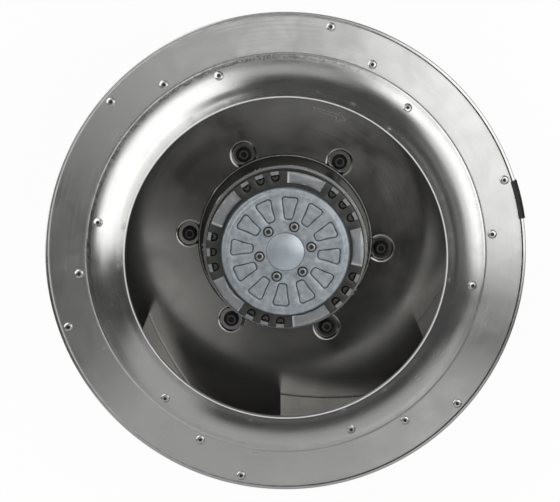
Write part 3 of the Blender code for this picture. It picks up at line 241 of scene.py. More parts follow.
def starPatch(centre, boundary, boundaryHeight, rings):
    # Rings about a centre, from the inside out, that end on the boundary
    spokes = boundary - np.array(centre)
    unit = spokes / np.linalg.norm(spokes, axis=1, keepdims=True)
    rows = ringRows(centre, unit, rings) + [lifted(boundary, boundaryHeight)]
    return gridSurface(np.stack(rows), wrapColumns=True)


def smoothStep(low, high, value):
    share = np.clip((value - low) / (high - low), 0, 1)
    return share * share * (3 - 2 * share)


def flowHeight(radius):
    # Flow side of the shroud: a quarter ellipse, then a ring that falls a little outward
    share = np.clip((fan["crease"] - radius) / fan["bellWidth"], 0, 1)
    fall = fan["ringFall"] / (fan["ringEnd"] - fan["crease"])
    bell = fan["bellCentre"] - fan["bellDepth"] * np.sqrt(1 - share ** 2)
    return bell - fall * np.clip(radius - fan["crease"], 0, None)


# Materials

noiseSpread = (0.3, 0.7)  # where most values of a noise lie


def addNode(tree, kind, inputs=None, **settings):
    made = tree.nodes.new(kind)
    for key, value in settings.items():
        setattr(made, key, value)
    for key, value in (inputs or {}).items():
        if isinstance(value, bpy.types.NodeSocket):
            tree.links.new(value, made.inputs[key])
        else:
            made.inputs[key].default_value = value
    return made


def calc(tree, operation, first, second=0.0, third=0.0):
    return addNode(tree, "ShaderNodeMath", {0: first, 1: second, 2: third},
                   operation=operation).outputs[0]


def plus(tree, first, second):
    return calc(tree, "ADD", first, second)


def times(tree, first, second):
    return calc(tree, "MULTIPLY", first, second)


def noise(tree, vector, scale, detail=2.0, roughness=0.5, distortion=0.0):
    return addNode(tree, "ShaderNodeTexNoise", {"Vector": vector, "Scale": scale, "Detail": detail,
                                                "Roughness": roughness,
                                                "Distortion": distortion}).outputs["Fac"]


def ranged(tree, value, low, high, fromLow=0.0, fromHigh=1.0):
    return addNode(tree, "ShaderNodeMapRange",
                   {"Value": value, "From Min": fromLow, "From Max": fromHigh,
                    "To Min": low, "To Max": high}).outputs["Result"]


def swing(tree, value, amount):
    # A noise carried to plus or minus the amount
    return ranged(tree, value, -amount, amount, *noiseSpread)


def blend(tree, amount, first, second):
    mixer = addNode(tree, "ShaderNodeMix", data_type="RGBA")
    for socket, value in ((0, amount), (6, first), (7, second)):
        if isinstance(value, bpy.types.NodeSocket):
            tree.links.new(value, mixer.inputs[socket])
        elif socket == 0:
            mixer.inputs[0].default_value = value
        else:
            mixer.inputs[socket].default_value = (*value, 1.0)
    return mixer.outputs[2]


def newMaterial(name, metallic=0.0, **sockets):
    made = bpy.data.materials.new(name)
    made.use_nodes = True
    shader = made.node_tree.nodes["Principled BSDF"]
    shader.inputs["Metallic"].default_value = metallic
    for key, value in sockets.items():
        shader.inputs[key.replace("_", " ")].default_value = value
    return made, made.node_tree, shader


def wire(tree, shader, colour, roughness):
    tree.links.new(colour, shader.inputs["Base Color"])
    tree.links.new(roughness, shader.inputs["Roughness"])


def objectPlace(tree):
    return addNode(tree, "ShaderNodeTexCoord").outputs["Object"]


def split(tree, vector):
    return addNode(tree, "ShaderNodeSeparateXYZ", {0: vector}).outputs


def aroundAxis(tree, place, radial, along, upward):
    # (radius, direction) times their scales: a noise on it runs in circles, with no seam
    x, y, z = split(tree, place)
    radius = calc(tree, "SQRT", plus(tree, times(tree, x, x), times(tree, y, y)))
    radius = plus(tree, radius, 0.0001)
    east = times(tree, calc(tree, "DIVIDE", x, radius), along)
    north = times(tree, calc(tree, "DIVIDE", y, radius), along)
    outward = times(tree, radius, radial)
    height = times(tree, z, upward)
    first = addNode(tree, "ShaderNodeCombineXYZ", {0: east, 1: north, 2: outward})
    lift = addNode(tree, "ShaderNodeCombineXYZ", {0: 0.0, 1: 0.0, 2: height})
    return addNode(tree, "ShaderNodeVectorMath", {0: first.outputs[0], 1: lift.outputs[0]},
                   operation="ADD").outputs[0], radius


def alongLine(tree, place, direction):
    # Distance of the place along a level direction
    x, y, _ = split(tree, place)
    return plus(tree, times(tree, x, direction[0]), times(tree, y, direction[1]))


def bump(tree, shader, height, strength, distance):
    made = addNode(tree, "ShaderNodeBump", {"Height": height, "Strength": strength,
                                            "Distance": distance})
    tree.links.new(made.outputs["Normal"], shader.inputs["Normal"])


def paintCreaseShade(tree, place, radius, colour, look):
    # Painted dark reflection in the crease: a ragged dark band between two radii, strongest on one
    # side; band x patchy noise x side
    ragged = swing(tree, noise(tree, place, 150.0, 4.0, 0.7, 0.5), look["ragged"])
    low, high = look["band"]
    middle, half = (low + high) / 2, (high - low) / 2
    off = calc(tree, "ABSOLUTE", calc(tree, "SUBTRACT", plus(tree, radius, ragged), middle))
    band = ranged(tree, off, 1.0, 0.0, half * 0.35, half)
    patchy = ranged(tree, noise(tree, place, 420.0, 3.0, 0.7), 0.25, 1.0, 0.38, 0.58)
    side = ranged(tree, alongLine(tree, place, look["side"]), look["least"], 1.0,
                  *look["sideRange"])
    amount = times(tree, times(tree, band, patchy), times(tree, side, look["amount"]))
    return blend(tree, amount, colour, look["colour"])


spunUsual = {"streaks": 0.1, "scratch": 0.03, "marks": 0.0}


def spunMetal(name, look):
    # Turned or rolled sheet: circles of fine scratches, faint blotches and a few stray marks; where
    # asked, a painted dark reflection in the crease and painted shade on the flow side
    look = spunUsual | look
    made, tree, shader = newMaterial(name, 1.0, Anisotropic=look["anisotropic"],
                                     Anisotropic_Rotation=0.25)
    place = objectPlace(tree)
    circles, radius = aroundAxis(tree, place, look["circleScale"], 1.6, look["circleScale"] * 0.6)
    fine = noise(tree, circles, 1.0, 3.0, 0.65)
    wide, _ = aroundAxis(tree, place, look["circleScale"] * 0.12, 0.9, look["circleScale"] * 0.08)
    broad = noise(tree, wide, 1.0, 2.0, 0.5)
    blotch = noise(tree, place, look["blotchScale"], 3.0, 0.6, 0.4)
    speck = noise(tree, place, 1400.0, 1.0, 0.5)
    stretched = addNode(tree, "ShaderNodeMapping", {"Vector": place, "Rotation": (0.0, 0.0, 0.6),
                                                    "Scale": (420.0, 14.0, 60.0)}).outputs[0]
    marks = ranged(tree, noise(tree, stretched, 1.0, 1.0, 0.4), 0.0, 1.0, 0.77, 0.82)
    dirt = ranged(tree, blotch, 0.0, 1.0, 0.42, 0.75)
    colour = blend(tree, times(tree, dirt, look["dirt"]), look["colour"], look["dirtColour"])
    colour = blend(tree, ranged(tree, fine, 0.0, look["streaks"], 0.35, 0.7), colour,
                   look["dirtColour"])
    # Painted dark reflection in the crease, strongest on one side
    if "creaseShade" in look:
        colour = paintCreaseShade(tree, place, radius, colour, look["creaseShade"])
    # Flow side: a darker colour, painted shade under the shroud, and more roughness
    if "flowRoughness" in look:
        flowSide = addNode(tree, "ShaderNodeAttribute", attribute_name="flowSide").outputs["Fac"]
        colour = blend(tree, flowSide, colour, look["flowShadeColour"])
    roughness = plus(tree, swing(tree, fine, look["scratch"]), look["roughness"])
    roughness = plus(tree, roughness, ranged(tree, blotch, -0.03, 0.05, *noiseSpread))
    roughness = plus(tree, roughness, times(tree, marks, look["marks"]))
    if "flowRoughness" in look:
        roughness = plus(tree, roughness, times(tree, flowSide, look["flowRoughness"]))
    wire(tree, shader, colour, roughness)
    height = times(tree, fine, 0.55)
    height = plus(tree, height, times(tree, broad, 0.5))
    height = plus(tree, height, times(tree, speck, 0.12))
    height = calc(tree, "SUBTRACT", height, times(tree, marks, 2 * look["marks"]))
    bump(tree, shader, height, look["bump"], 0.0004)
    if look["anisotropic"]:
        tangent = addNode(tree, "ShaderNodeTangent", direction_type="RADIAL", axis="Z")
        tree.links.new(tangent.outputs[0], shader.inputs["Tangent"])
    return made


castUsual = {"specular": 0.5, "rubbed": 0.5}


def castMetal(name, look):
    # Cast skin: two sizes of grain, cloudy stains and lighter rubbed places; where asked, painted
    # shade darkens all below a height
    look = castUsual | look
    made, tree, shader = newMaterial(name, look["metallic"], Specular_IOR_Level=look["specular"])
    place = objectPlace(tree)
    cloud = noise(tree, place, look["cloudScale"], 4.0, 0.6, 0.3)
    grain = noise(tree, place, look["grainScale"], 3.0, 0.6)
    pits = addNode(tree, "ShaderNodeTexVoronoi", {"Vector": place,
                                                  "Scale": look["grainScale"] * 0.7})
    colour = blend(tree, ranged(tree, cloud, 0.0, 1.0, *noiseSpread), look["colour"],
                   look["stain"])
    colour = blend(tree, ranged(tree, grain, 0.0, look["rubbed"], 0.55, 0.8), colour, look["bare"])
    # Painted shade in recesses: darker below a height under the face
    if "recessShade" in look:
        top, fade = look["recessShadeTop"], look["recessShadeFade"]
        recessShade = ranged(tree, split(tree, place)[2], look["recessShade"], 0.0, top - fade, top)
        colour = blend(tree, recessShade, colour, look["recessShadeColour"])
    roughness = plus(tree, swing(tree, cloud, 0.03), look["roughness"])
    wire(tree, shader, colour, plus(tree, roughness, swing(tree, grain, 0.03)))
    height = plus(tree, grain, times(tree, pits.outputs["Distance"], 0.5))
    bump(tree, shader, height, look["bump"], 0.0003)
    return made


spunAluminium = spunMetal("spunAluminium", {
    "colour": (0.80, 0.80, 0.79), "dirtColour": (0.60, 0.60, 0.58), "dirt": 0.14,
    "roughness": 0.21, "anisotropic": 0.60, "circleScale": 1500.0, "blotchScale": 30.0,
    "streaks": 0.06, "bump": 0.02,
    # the crease band is a painted dark reflection
    "creaseShade": {"band": (0.2045, 0.2103), "ragged": 0.0011, "amount": 0.75, "side": (-0.70, 0.72),
             "sideRange": (0.055, 0.155), "least": 0.12, "colour": (0.10, 0.10, 0.098)},
    "flowShadeColour": (0.55, 0.55, 0.54), "flowRoughness": 0.30})
# A darker copy of the sheet aluminium: painted shade of the cavity behind the shroud
plateAluminiumShaded = spunMetal("plateAluminiumShaded", {
    "colour": (0.42, 0.415, 0.395), "dirtColour": (0.31, 0.305, 0.29), "dirt": 0.5,
    "roughness": 0.13, "anisotropic": 0.30, "circleScale": 900.0, "blotchScale": 16.0,
    "streaks": 0.04, "scratch": 0.01, "marks": 0.02, "bump": 0.003})
# A darker copy of the sheet aluminium: painted shade inside the wheel
bladeAluminiumShaded = spunMetal("bladeAluminiumShaded", {
    "colour": (0.48, 0.475, 0.46), "dirtColour": (0.34, 0.335, 0.32), "dirt": 0.4,
    "roughness": 0.22, "anisotropic": 0.0, "circleScale": 600.0, "blotchScale": 16.0,
    "streaks": 0.08, "marks": 0.08, "bump": 0.03})
rivetAluminium = spunMetal("rivetAluminium", {
    "colour": (0.84, 0.84, 0.84), "dirtColour": (0.55, 0.55, 0.55), "dirt": 0.3,
    "roughness": 0.24, "anisotropic": 0.0, "circleScale": 2500.0, "blotchScale": 300.0,
    "marks": 0.1, "bump": 0.08})
darkCasting = castMetal("darkCasting", {
    "colour": (0.060, 0.060, 0.058), "stain": (0.085, 0.084, 0.080), "bare": (0.22, 0.22, 0.21),
    "rubbed": 0.35, "metallic": 0.55, "roughness": 0.36, "cloudScale": 30.0,
    "grainScale": 900.0, "bump": 0.25})
# Its pockets and grooves get painted shade below the face
coverCasting = castMetal("coverCasting", {
    "colour": (0.29, 0.33, 0.36), "stain": (0.50, 0.54, 0.57), "bare": (0.70, 0.73, 0.76),
    "rubbed": 0.55, "metallic": 0.60, "roughness": 0.34, "cloudScale": 150.0,
    "grainScale": 1100.0, "bump": 0.05, "recessShade": 0.5,
    "recessShadeTop": fan["coverFace"] - 0.0012, "recessShadeFade": 0.0009, "recessShadeColour": (0.02, 0.022, 0.024)})
labelMetal = castMetal("labelMetal", {
    "colour": (0.50, 0.52, 0.53), "stain": (0.42, 0.44, 0.45), "bare": (0.68, 0.69, 0.70),
    "metallic": 0.85, "roughness": 0.30, "cloudScale": 90.0,
    "grainScale": 1500.0, "bump": 0.012})
housingCasting = castMetal("housingCasting", {
    "colour": (0.40, 0.41, 0.42), "stain": (0.33, 0.34, 0.35), "bare": (0.60, 0.61, 0.62),
    "rubbed": 0.4, "metallic": 0.8, "roughness": 0.48, "cloudScale": 25.0,
    "grainScale": 650.0, "bump": 0.45})
blackSteel = castMetal("blackSteel", {
    "colour": (0.030, 0.030, 0.031), "stain": (0.046, 0.045, 0.044), "bare": (0.10, 0.10, 0.10),
    "rubbed": 0.4, "metallic": 0.4, "specular": 0.4, "roughness": 0.50, "cloudScale": 200.0,
    "grainScale": 1600.0, "bump": 0.15})
greyRingSteel = castMetal("greyRingSteel", {
    "colour": (0.17, 0.17, 0.17), "stain": (0.10, 0.10, 0.10), "bare": (0.30, 0.30, 0.30),
    "metallic": 0.6, "roughness": 0.42, "cloudScale": 300.0,
    "grainScale": 1800.0, "bump": 0.1})
lipSteel = spunMetal("lipSteel", {
    "colour": (0.72, 0.72, 0.71), "dirtColour": (0.42, 0.42, 0.41), "dirt": 0.5,
    "roughness": 0.28, "anisotropic": 0.5, "circleScale": 2200.0, "blotchScale": 40.0,
    "bump": 0.015})
# Pale and mostly not metal: a painted highlight on the cut edge of the sheet
cutEdgeHighlight = castMetal("cutEdgeHighlight", {
    "colour": (0.76, 0.76, 0.75), "stain": (0.66, 0.66, 0.65), "bare": (0.86, 0.86, 0.86),
    "metallic": 0.25, "specular": 0.6, "roughness": 0.40, "cloudScale": 90.0,
    "grainScale": 1500.0, "bump": 0.1})
print("main materials made")


# Inlet shroud

shroudLook = {
    "aroundSteps": 360,
    "bellSteps": 44,
    "ringSteps": 14,
    "neckDrops": (0.0, 0.0013, 0.0026),
    "creaseRadii": (0.2028, 0.2108, 28),
    "creaseSteps": (0.0004, 0.0009, 0.0014),
    "flatEnd": 0.2499,
    "step": ((0.0, 0.0), (0.0003, 0.00003), (0.0006, 0.0012), (0.0008, 0.00125), (0.0020, 0.00132),
             (0.0033, 0.0014), (0.0036, 0.0017), (0.0036, 0.0088), (0.0016, 0.0088)),
    "groove": 0.2103,
    "grooveDepth": 0.00022,
    "grooveWidth": 0.0008,
    "rimBevel": 0.0004,
}


def makeShroud(look):
    # Flow side: neck, quarter ellipse and ring; the other side is one sheet away along the normal.
    # Outside the ring come a step, a narrow flange and the turned edge: one closed profile
    inlet, rim, crease, sheet = (fan[key] for key in ("inletRadius", "rim", "crease", "shroudSheet"))
    neck = [(inlet, rim - drop) for drop in look["neckDrops"]]
    angles = np.linspace(0, math.pi / 2, look["bellSteps"] + 1)
    extra = np.arccos((crease - np.linspace(*look["creaseRadii"])) / fan["bellWidth"])
    angles = np.unique(np.concatenate([angles, extra]))
    bell = np.column_stack([crease - fan["bellWidth"] * np.cos(angles),
                            fan["bellCentre"] - fan["bellDepth"] * np.sin(angles)])
    radii = np.linspace(crease, look["flatEnd"] - 0.001, look["ringSteps"] + 1)[1:]
    radii = np.unique(np.concatenate([radii, crease + np.array(look["creaseSteps"])]))
    side = np.concatenate([neck, bell, np.column_stack([radii, flowHeight(radii)])])
    groove = look["grooveDepth"] * np.exp(-((side[:, 0] - look["groove"]) / look["grooveWidth"]) ** 2)
    slope = np.gradient(side, axis=0)
    normal = np.column_stack([-slope[:, 1], slope[:, 0]])
    normal /= np.linalg.norm(normal, axis=1, keepdims=True)
    side[:, 1] -= groove
    other = side + sheet * normal
    step = np.array([look["flatEnd"], other[-1, 1]]) + np.array(look["step"]) * [1, -1]
    inside = [(step[-1, 0], side[-1, 1] - 0.0008)]
    other = np.concatenate([other, step, inside])
    bevel = look["rimBevel"]
    edge = [(inlet + sheet, rim - bevel), (inlet + sheet - bevel, rim), (inlet + bevel, rim)]
    side[0, 1] -= bevel
    return revolved(np.concatenate([side, other[:0:-1], edge]), look["aroundSteps"], closed=True)


def markFlowSide(piece):
    # Attribute for the material: 1 on the flow side of the sheet, which is rougher and painted darker
    # as shade, 0 on the face seen outside
    points = meshArray(piece.data.vertices, "co")
    radius = np.hypot(points[:, 0], points[:, 1])
    near = 0.3 * fan["shroudSheet"]
    below = (points[:, 2] - flowHeight(radius) < near) | (radius < fan["inletRadius"] + near)
    mark = piece.data.attributes.new("flowSide", "FLOAT", "POINT")
    mark.data.foreach_set("value", below.astype(float))


shroudSheet = addPiece("shroudSheet", [makeShroud(shroudLook)], spunAluminium,
                       ["inlet_shroud"], sharp=50.0)
markFlowSide(shroudSheet)


# Painted shade along the turned edge of the shroud, on a thin ring over the fold
edgeShadeLook = {
    "inner": 0.2491,
    "outer": 0.2507,
    "proud": 0.00012,
    "sunk": 0.0005,
    "steps": 360,
    "dark": (0.035, 0.035, 0.034),
    "pale": (0.52, 0.52, 0.51),
    "side": (0.94, -0.34),
    "sideRange": (-0.22, 0.16),
}


def makeEdgeShadeRing(look):
    # Low ring with rounded shoulders over the fold of the sheet, along the slope of the flat ring; it
    # carries the painted shade along the turned edge
    share = np.array([0.0, 0.0, 0.12, 0.5, 0.88, 1.0, 1.0])
    lift = look["proud"] * np.array([0.0, 0.4, 0.9, 1.0, 0.9, 0.4, 0.0])
    lift[[0, -1]] = -look["sunk"]
    radius = look["inner"] + (look["outer"] - look["inner"]) * share
    height = flowHeight(radius) + fan["shroudSheet"] + lift
    return revolved(np.column_stack([radius, height]), look["steps"], closed=True)


def edgeShadeMaterial(look):
    # Painted shade along the turned edge: dark on one side of the fan, fading to pale metal on the
    # other side, with a noise in the mix and the bump
    made, tree, shader = newMaterial("edgeShadePaint", 0.35, Roughness=0.5)
    place = objectPlace(tree)
    side = alongLine(tree, place, look["side"])
    edgeNoise = noise(tree, place, 90.0, 3.0, 0.6)
    litShare = plus(tree, ranged(tree, side, 1.0, 0.0, *look["sideRange"]), swing(tree, edgeNoise, 0.15))
    tree.links.new(blend(tree, litShare, look["dark"], look["pale"]), shader.inputs["Base Color"])
    bump(tree, shader, edgeNoise, 0.1, 0.0002)
    return made


addPiece("edgeShadeRing", [makeEdgeShadeRing(edgeShadeLook)], edgeShadeMaterial(edgeShadeLook))

# The sheet's cut edge on the inlet rim, pale and mostly not metal: a painted highlight
cutEdgeLook = {
    "steps": 360,
    "profile": ((0.16685, 0.2666), (0.16685, 0.26702), (0.1670, 0.26712), (0.1679, 0.26712),
                (0.16805, 0.26702), (0.16805, 0.2666)),
}
addPiece("neckEdgeHighlight", [turnedRing(cutEdgeLook)], cutEdgeHighlight)


# Back plate

plateLook = {
    "cone": (0.0132, 0.0154, 0.00042),
    "wall": (0.0121, 0.0134, 0.00358),
    "boltHole": 0.0045,
    "sectorRadius": 0.1225,
    "sectorHalf": math.radians(20.0),
    "arcSteps": 40,
    "sideSteps": 12,
    "innerSteps": 30,
    "rings": 52,
    "radialSteps": 14,
    "edgeBend": 0.003,
    "edgeDrop": 0.0068,
}


def makePlate(look):
    # A sector for each bolt is a patch: rings round the bolt hole, stretched to end on the sector's
    # outline. Height = front face, less a shallow cone and a steep smooth wall over the distance to
    # the bolt. Plain sectors lie between, and the rest is one turned profile
    centre = (fan["boltCircle"], 0.0)
    front, outer = fan["plateFront"], fan["plateRadius"]
    half, hole, bend = look["sectorHalf"], look["boltHole"], look["edgeBend"]
    boundary = sectorOutline(fan["plateHole"], look["sectorRadius"], half, look["arcSteps"],
                             look["sideSteps"], look["innerSteps"])
    length = np.linalg.norm(boundary - np.array(centre), axis=1)

    def height(distance):
        inner, edge, depth = look["wall"]
        wall = depth * (1 - smoothStep(inner, edge, distance))
        near, far, fall = look["cone"]
        share = np.clip((far - distance) / (far - near), 0, 1)
        return front - wall - fall * (share - 0.12 * np.sin(math.pi * share) ** 2)

    limit = np.minimum(length, look["cone"][1] * 1.04)
    distances = [hole + (limit - hole) * share for share in np.linspace(0, 1, look["rings"])]
    patch = starPatch(centre, boundary, height(length), [(d, height(d)) for d in distances])
    sides = np.linspace(fan["plateHole"], look["sectorRadius"], look["sideSteps"] + 1)
    plain = revolved([(r, front) for r in sides], look["arcSteps"] // 2, start=half,
                     sweep=turn / 6 - 2 * half)
    outward = np.linspace(look["sectorRadius"], outer - bend, look["radialSteps"])
    around = np.linspace(0, math.pi / 2, 8)[1:]
    profile = [(r, front) for r in outward]
    profile += [(outer - bend * (1 - math.sin(a)), front - bend * (1 - math.cos(a))) for a in around]
    profile += [(outer, front - look["edgeDrop"])]
    disc = revolved(profile, 9 * look["arcSteps"], start=fan["boltPhase"] - half)
    angles = evenAngles(6, fan["boltPhase"])
    return turnedCopies(patch, angles) + turnedCopies(plain, angles) + [disc]


def closedSheet(surfaces, thickness):
    # Both sides of a sheet whose face looks up: the lower side is the same grid, lowered along the
    # vertex normals, and the two are sewn along the open edges
    mesh = joinedMesh("sheetDraft", surfaces, recalculate=False)
    points = meshArray(mesh.vertices, "co")
    lower = points - meshArray(mesh.vertex_normals, "vector") * thickness
    corners = [np.array(face.vertices) for face in mesh.polygons]
    bpy.data.meshes.remove(mesh)
    quads = np.array([np.append(c, c[-1]) if len(c) == 3 else c for c in corners])
    directed = np.stack([quads, np.roll(quads, -1, axis=1)], -1).reshape(-1, 2)
    _, first, uses = np.unique(np.sort(directed, axis=1), axis=0, return_index=True,
                               return_counts=True)
    rim = directed[first[uses == 1]]
    rim = rim[rim[:, 0] != rim[:, 1]]
    sewn = np.column_stack([rim[:, ::-1], rim + len(points)])
    return [(np.concatenate([points, lower]),
             np.concatenate([quads, quads[:, ::-1] + len(points), sewn]))]


addPiece("backPlate", closedSheet(makePlate(plateLook), fan["plateSheet"]), plateAluminiumShaded,
         ["back_plate"], sharp=50.0)


arrowLook = {
    "corners": ((0.0315, 0.1482), (0.0585, 0.1398), (0.0600, 0.1424), (0.0664, 0.1334),
                (0.0553, 0.1325), (0.0563, 0.1368), (0.0312, 0.1448)),
    "line": 0.0005,
    "proud": 0.00005,
    "sunk": 0.0004,
}


def makeArrow(look):
    # Closed band between the outline and the same outline moved inward by the line's width
    corners = np.array(look["corners"])
    forward = np.roll(corners, -1, axis=0) - corners
    forward /= np.linalg.norm(forward, axis=1, keepdims=True)
    right = np.column_stack([forward[:, 1], -forward[:, 0]])
    middle = right + np.roll(right, 1, axis=0)
    miter = middle / (middle * right).sum(axis=1, keepdims=True)
    inner = corners + look["line"] * miter
    low, high = fan["plateFront"] - look["sunk"], fan["plateFront"] + look["proud"]
    rows = [lifted(*row) for row in ((corners, low), (corners, high), (inner, high), (inner, low))]
    return gridSurface(np.stack(rows), wrapRows=True, wrapColumns=True)


addPiece("rotationArrow", [makeArrow(arrowLook)], labelMetal)
print("shroud and back plate made")


# Blades

bladeLook = {
    "centre": (-0.166179, 0.041523),
    "radius": 0.340719,
    "inlet": 0.172,
    "length": 0.214789,
    "tip": 0.2455,
    "stations": 97,
    "foot": 0.016,
    "flange": 0.019,
    "flangeStart": 0.015,
    "flangeFull": 0.045,
    "tipMargin": 0.0028,
    "sheet": 0.002,
    "bend": 0.0024,
    "footHeight": 0.1043,
    "gap": 0.00108,
}


def bladeArc(look, s):
    # Point and outward normal at a length s along the circular arc that the blade follows in plan
    centre = np.array(look["centre"])
    first = math.atan2(-centre[1], look["inlet"] - centre[0])
    normal = unitVectors(first + s / look["radius"])
    return centre + look["radius"] * normal, normal


def makeBlade(look):
    # A C-shaped path (foot, bend, web, bend, flange) in (offset from the web's face, height), and its
    # inner side one sheet away, carried along the arc
    s = np.linspace(0, look["length"], look["stations"])[:, None]
    foot, normal = bladeArc(look, s)
    share = np.clip((s - look["flangeStart"]) / (look["flangeFull"] - look["flangeStart"]), 0, 1)
    along = (foot * normal).sum(-1)
    limit = look["tip"] + look["tipMargin"]
    room = -along + np.sqrt(along ** 2 + limit ** 2 - (foot ** 2).sum(-1))
    bend, low = look["bend"], look["footHeight"]
    least = bend + 0.0002
    footWidth, topWidth = (np.maximum(np.minimum(least + (width - least) * share, room), least)
                           for width in (look["foot"], look["flange"]))

    def top(offset):
        at = foot + offset[..., None] * normal
        return flowHeight(np.linalg.norm(at, axis=-1)) - look["gap"]

    flat = np.linspace(0, 1, 8)[None, :]
    curve = np.linspace(0, math.pi / 2, 6)[None, :]
    up = np.linspace(0, 1, 14)[None, :]

    def side(depth):
        inner = bend - depth
        offsets = [footWidth + (bend - footWidth) * flat, bend - inner * np.sin(curve) + 0 * s,
                   depth + 0 * up + 0 * s, bend - inner * np.cos(curve) + 0 * s,
                   bend + (topWidth - bend) * flat]
        webTop = top(0 * s) - bend
        heights = [low + depth + 0 * flat + 0 * s, low + bend - inner * np.cos(curve) + 0 * s,
                   low + bend + (webTop - low - bend) * up,
                   top(offsets[3]) - bend + inner * np.sin(curve), top(offsets[4]) - depth]
        at = foot + np.concatenate(offsets, axis=1)[..., None] * normal
        return np.concatenate([at, np.concatenate(heights, axis=1)[..., None]], axis=-1)

    outer = side(0.0)
    inner = side(look["sheet"])
    skin = gridSurface(np.concatenate([outer, inner[:, ::-1]], axis=1), wrapColumns=True)
    return [skin] + [gridSurface(np.stack([outer[end], inner[end]])) for end in (0, -1)]


bladeShape = makeBlade(bladeLook)
for number, angle in enumerate(evenAngles(6, fan["bladePhase"]), 1):
    addPiece(f"bladeSheet{number}", [turnedCopies(part, [angle])[0] for part in bladeShape],
             bladeAluminiumShaded, [f"blade_{number}"])
print("blades made")


# Rivets

rivetLook = {
    "places": ((0.24248, 78.77), (0.21844, 65.52), (0.19924, 50.38)),
    "headRadius": 0.00475,
    "headHeight": 0.0014,
    "holeRadius": 0.0019,
    "holeDepth": 0.0026,
    "seatGap": 0.0006,
    "shank": 0.0024,
    "shankLength": 0.0054,
    "tail": 0.0014,
    "steps": 24,
    "plugDepth": 0.0016,
}


def rivetShape(look):
    # Low dome round the hole that the drawn mandrel leaves, over a short shank
    hole, head, seat = look["holeRadius"], look["headRadius"], look["seatGap"]
    shank, end, tail = look["shank"], -look["shankLength"], look["tail"]
    share = np.linspace(0, 1, 7)
    crown = seat + look["headHeight"] * np.sqrt(1 - (share * 0.93) ** 2)
    floor = crown[0] - look["holeDepth"]
    profile = [(0.0, floor), (hole * 0.9, floor), (hole * 0.95, crown[0] - 0.0004)]
    profile += list(zip(hole + (head - hole) * share, crown))
    profile += [(head, seat), (shank, seat), (shank, end), (shank * 1.5, end - tail),
                (0.0, end - 2 * tail)]
    return revolved(profile, look["steps"])


def rivetPlaces(look):
    # Angle of each rivet = its place on the first blade plus a sixth of a turn for each blade;
    # it stands on the outer side, along the normal of the flow side at its radius
    table = np.array(look["places"])
    radius = np.tile(table[:, 0], 6)
    angle = np.radians(np.tile(table[:, 1], 6) + np.repeat(60.0 * np.arange(6), 3))
    step = 0.0001
    slope = (flowHeight(radius + step) - flowHeight(radius - step)) / (2 * step)
    lean = np.stack([-slope, np.ones_like(slope)], -1)
    lean /= np.linalg.norm(lean, axis=1, keepdims=True)
    foot = np.column_stack([radius, flowHeight(radius)]) + lean * fan["shroudSheet"]
    return [lifted(side[:, :1] * unitVectors(angle), side[:, 1]) for side in (foot, lean)]


addPiece("shroudRivets", placedCopies(rivetShape(rivetLook), *rivetPlaces(rivetLook)),
         rivetAluminium, [f"shroud_rivet_{n}" for n in range(1, 19)])


def holeShadeDisc(radius, top, thickness, steps):
    # Small turned disc, slightly dished, low in a hole; black, it is painted shade in the hole
    profile = [(0.0, top - 0.2 * radius), (0.6 * radius, top - 0.1 * radius), (radius, top),
               (radius, top - thickness), (0.0, top - thickness)]
    return revolved(profile, steps)


# The mandrel stub in each rivet, made black: painted shade in the hole
rivetHoleShade = holeShadeDisc(rivetLook["holeRadius"] * 0.96,
                      rivetLook["seatGap"] + rivetLook["headHeight"] - rivetLook["plugDepth"],
                      0.0012, 12)
addPiece("mandrelStubShade", placedCopies(rivetHoleShade, *rivetPlaces(rivetLook)), blackSteel)


# Hub bolts

boltLook = {
    "flangeRadius": 0.0085,
    "flange": 0.0016,
    "headRadius": 0.0060,
    "headHeight": 0.0060,
    "socket": 0.0027,
    "socketDepth": 0.0040,
    "shank": 0.0040,
    "length": 0.0118,
    "steps": 48,
}


def socketScrew(look):
    # Rows of a revolved profile; inside the socket the radius follows a hexagon, a / cos(angle to
    # the middle of the nearest flat)
    flange, wide, shank, head = (look[key] for key in ("flange", "flangeRadius", "shank",
                                                       "headRadius"))
    top = flange + look["headHeight"]
    bevel = look["headHeight"] * 0.12
    floor, end = top - look["socketDepth"], -look["length"]
    angles = evenAngles(look["steps"])
    hexagon = look["socket"] / np.cos((angles + math.pi / 6) % (math.pi / 3) - math.pi / 6)
    rows = [(0.0, floor), (hexagon * 0.98, floor), (hexagon, top - 0.0002), (hexagon * 1.12, top),
            (head - bevel, top), (head - bevel * 0.3, top - bevel * 0.3), (head, top - bevel),
            (head, flange + 0.0003), (head + 0.0003, flange), (wide - 0.0004, flange * 0.75),
            (wide, flange * 0.5), (wide, 0.0), (shank, 0.0), (shank, end), (0.0, end)]
    return gridSurface(np.stack(ringRows((0, 0), unitVectors(angles), rows)), wrapColumns=True)


boltShape = socketScrew(boltLook)
boltPlaces = onCircle(fan["boltCircle"], evenAngles(6, fan["boltPhase"]), fan["boltSeat"])
for number, place in enumerate(boltPlaces, 1):
    addPiece(f"hubBolt{number}", placedCopies(boltShape, [place]), blackSteel,
             [f"hub_bolt_{number}"])

boltRingLook = {  # a lighter grey ring on each head, heights from the bolt's seat
    "steps": 40,
    "profile": ((0.0034, 0.0074), (0.0036, 0.0077), (0.0041, 0.00778), (0.0047, 0.0077),
                (0.0049, 0.0074)),
}
addPiece("boltRings", placedCopies(turnedRing(boltRingLook), boltPlaces), greyRingSteel)


plateRivetLook = {
    "along": (0.045, 0.105, 0.165),
    "offset": 0.0075,
    "steps": 18,
    "profile": ((0.0, 0.0992), (0.0026, 0.0995), (0.0044, 0.1006), (0.0048, 0.1014),
                (0.0048, 0.1040), (0.0024, 0.1040), (0.0024, 0.1068), (0.0035, 0.1072),
                (0.0034, 0.1082), (0.0, 0.1088)),
}


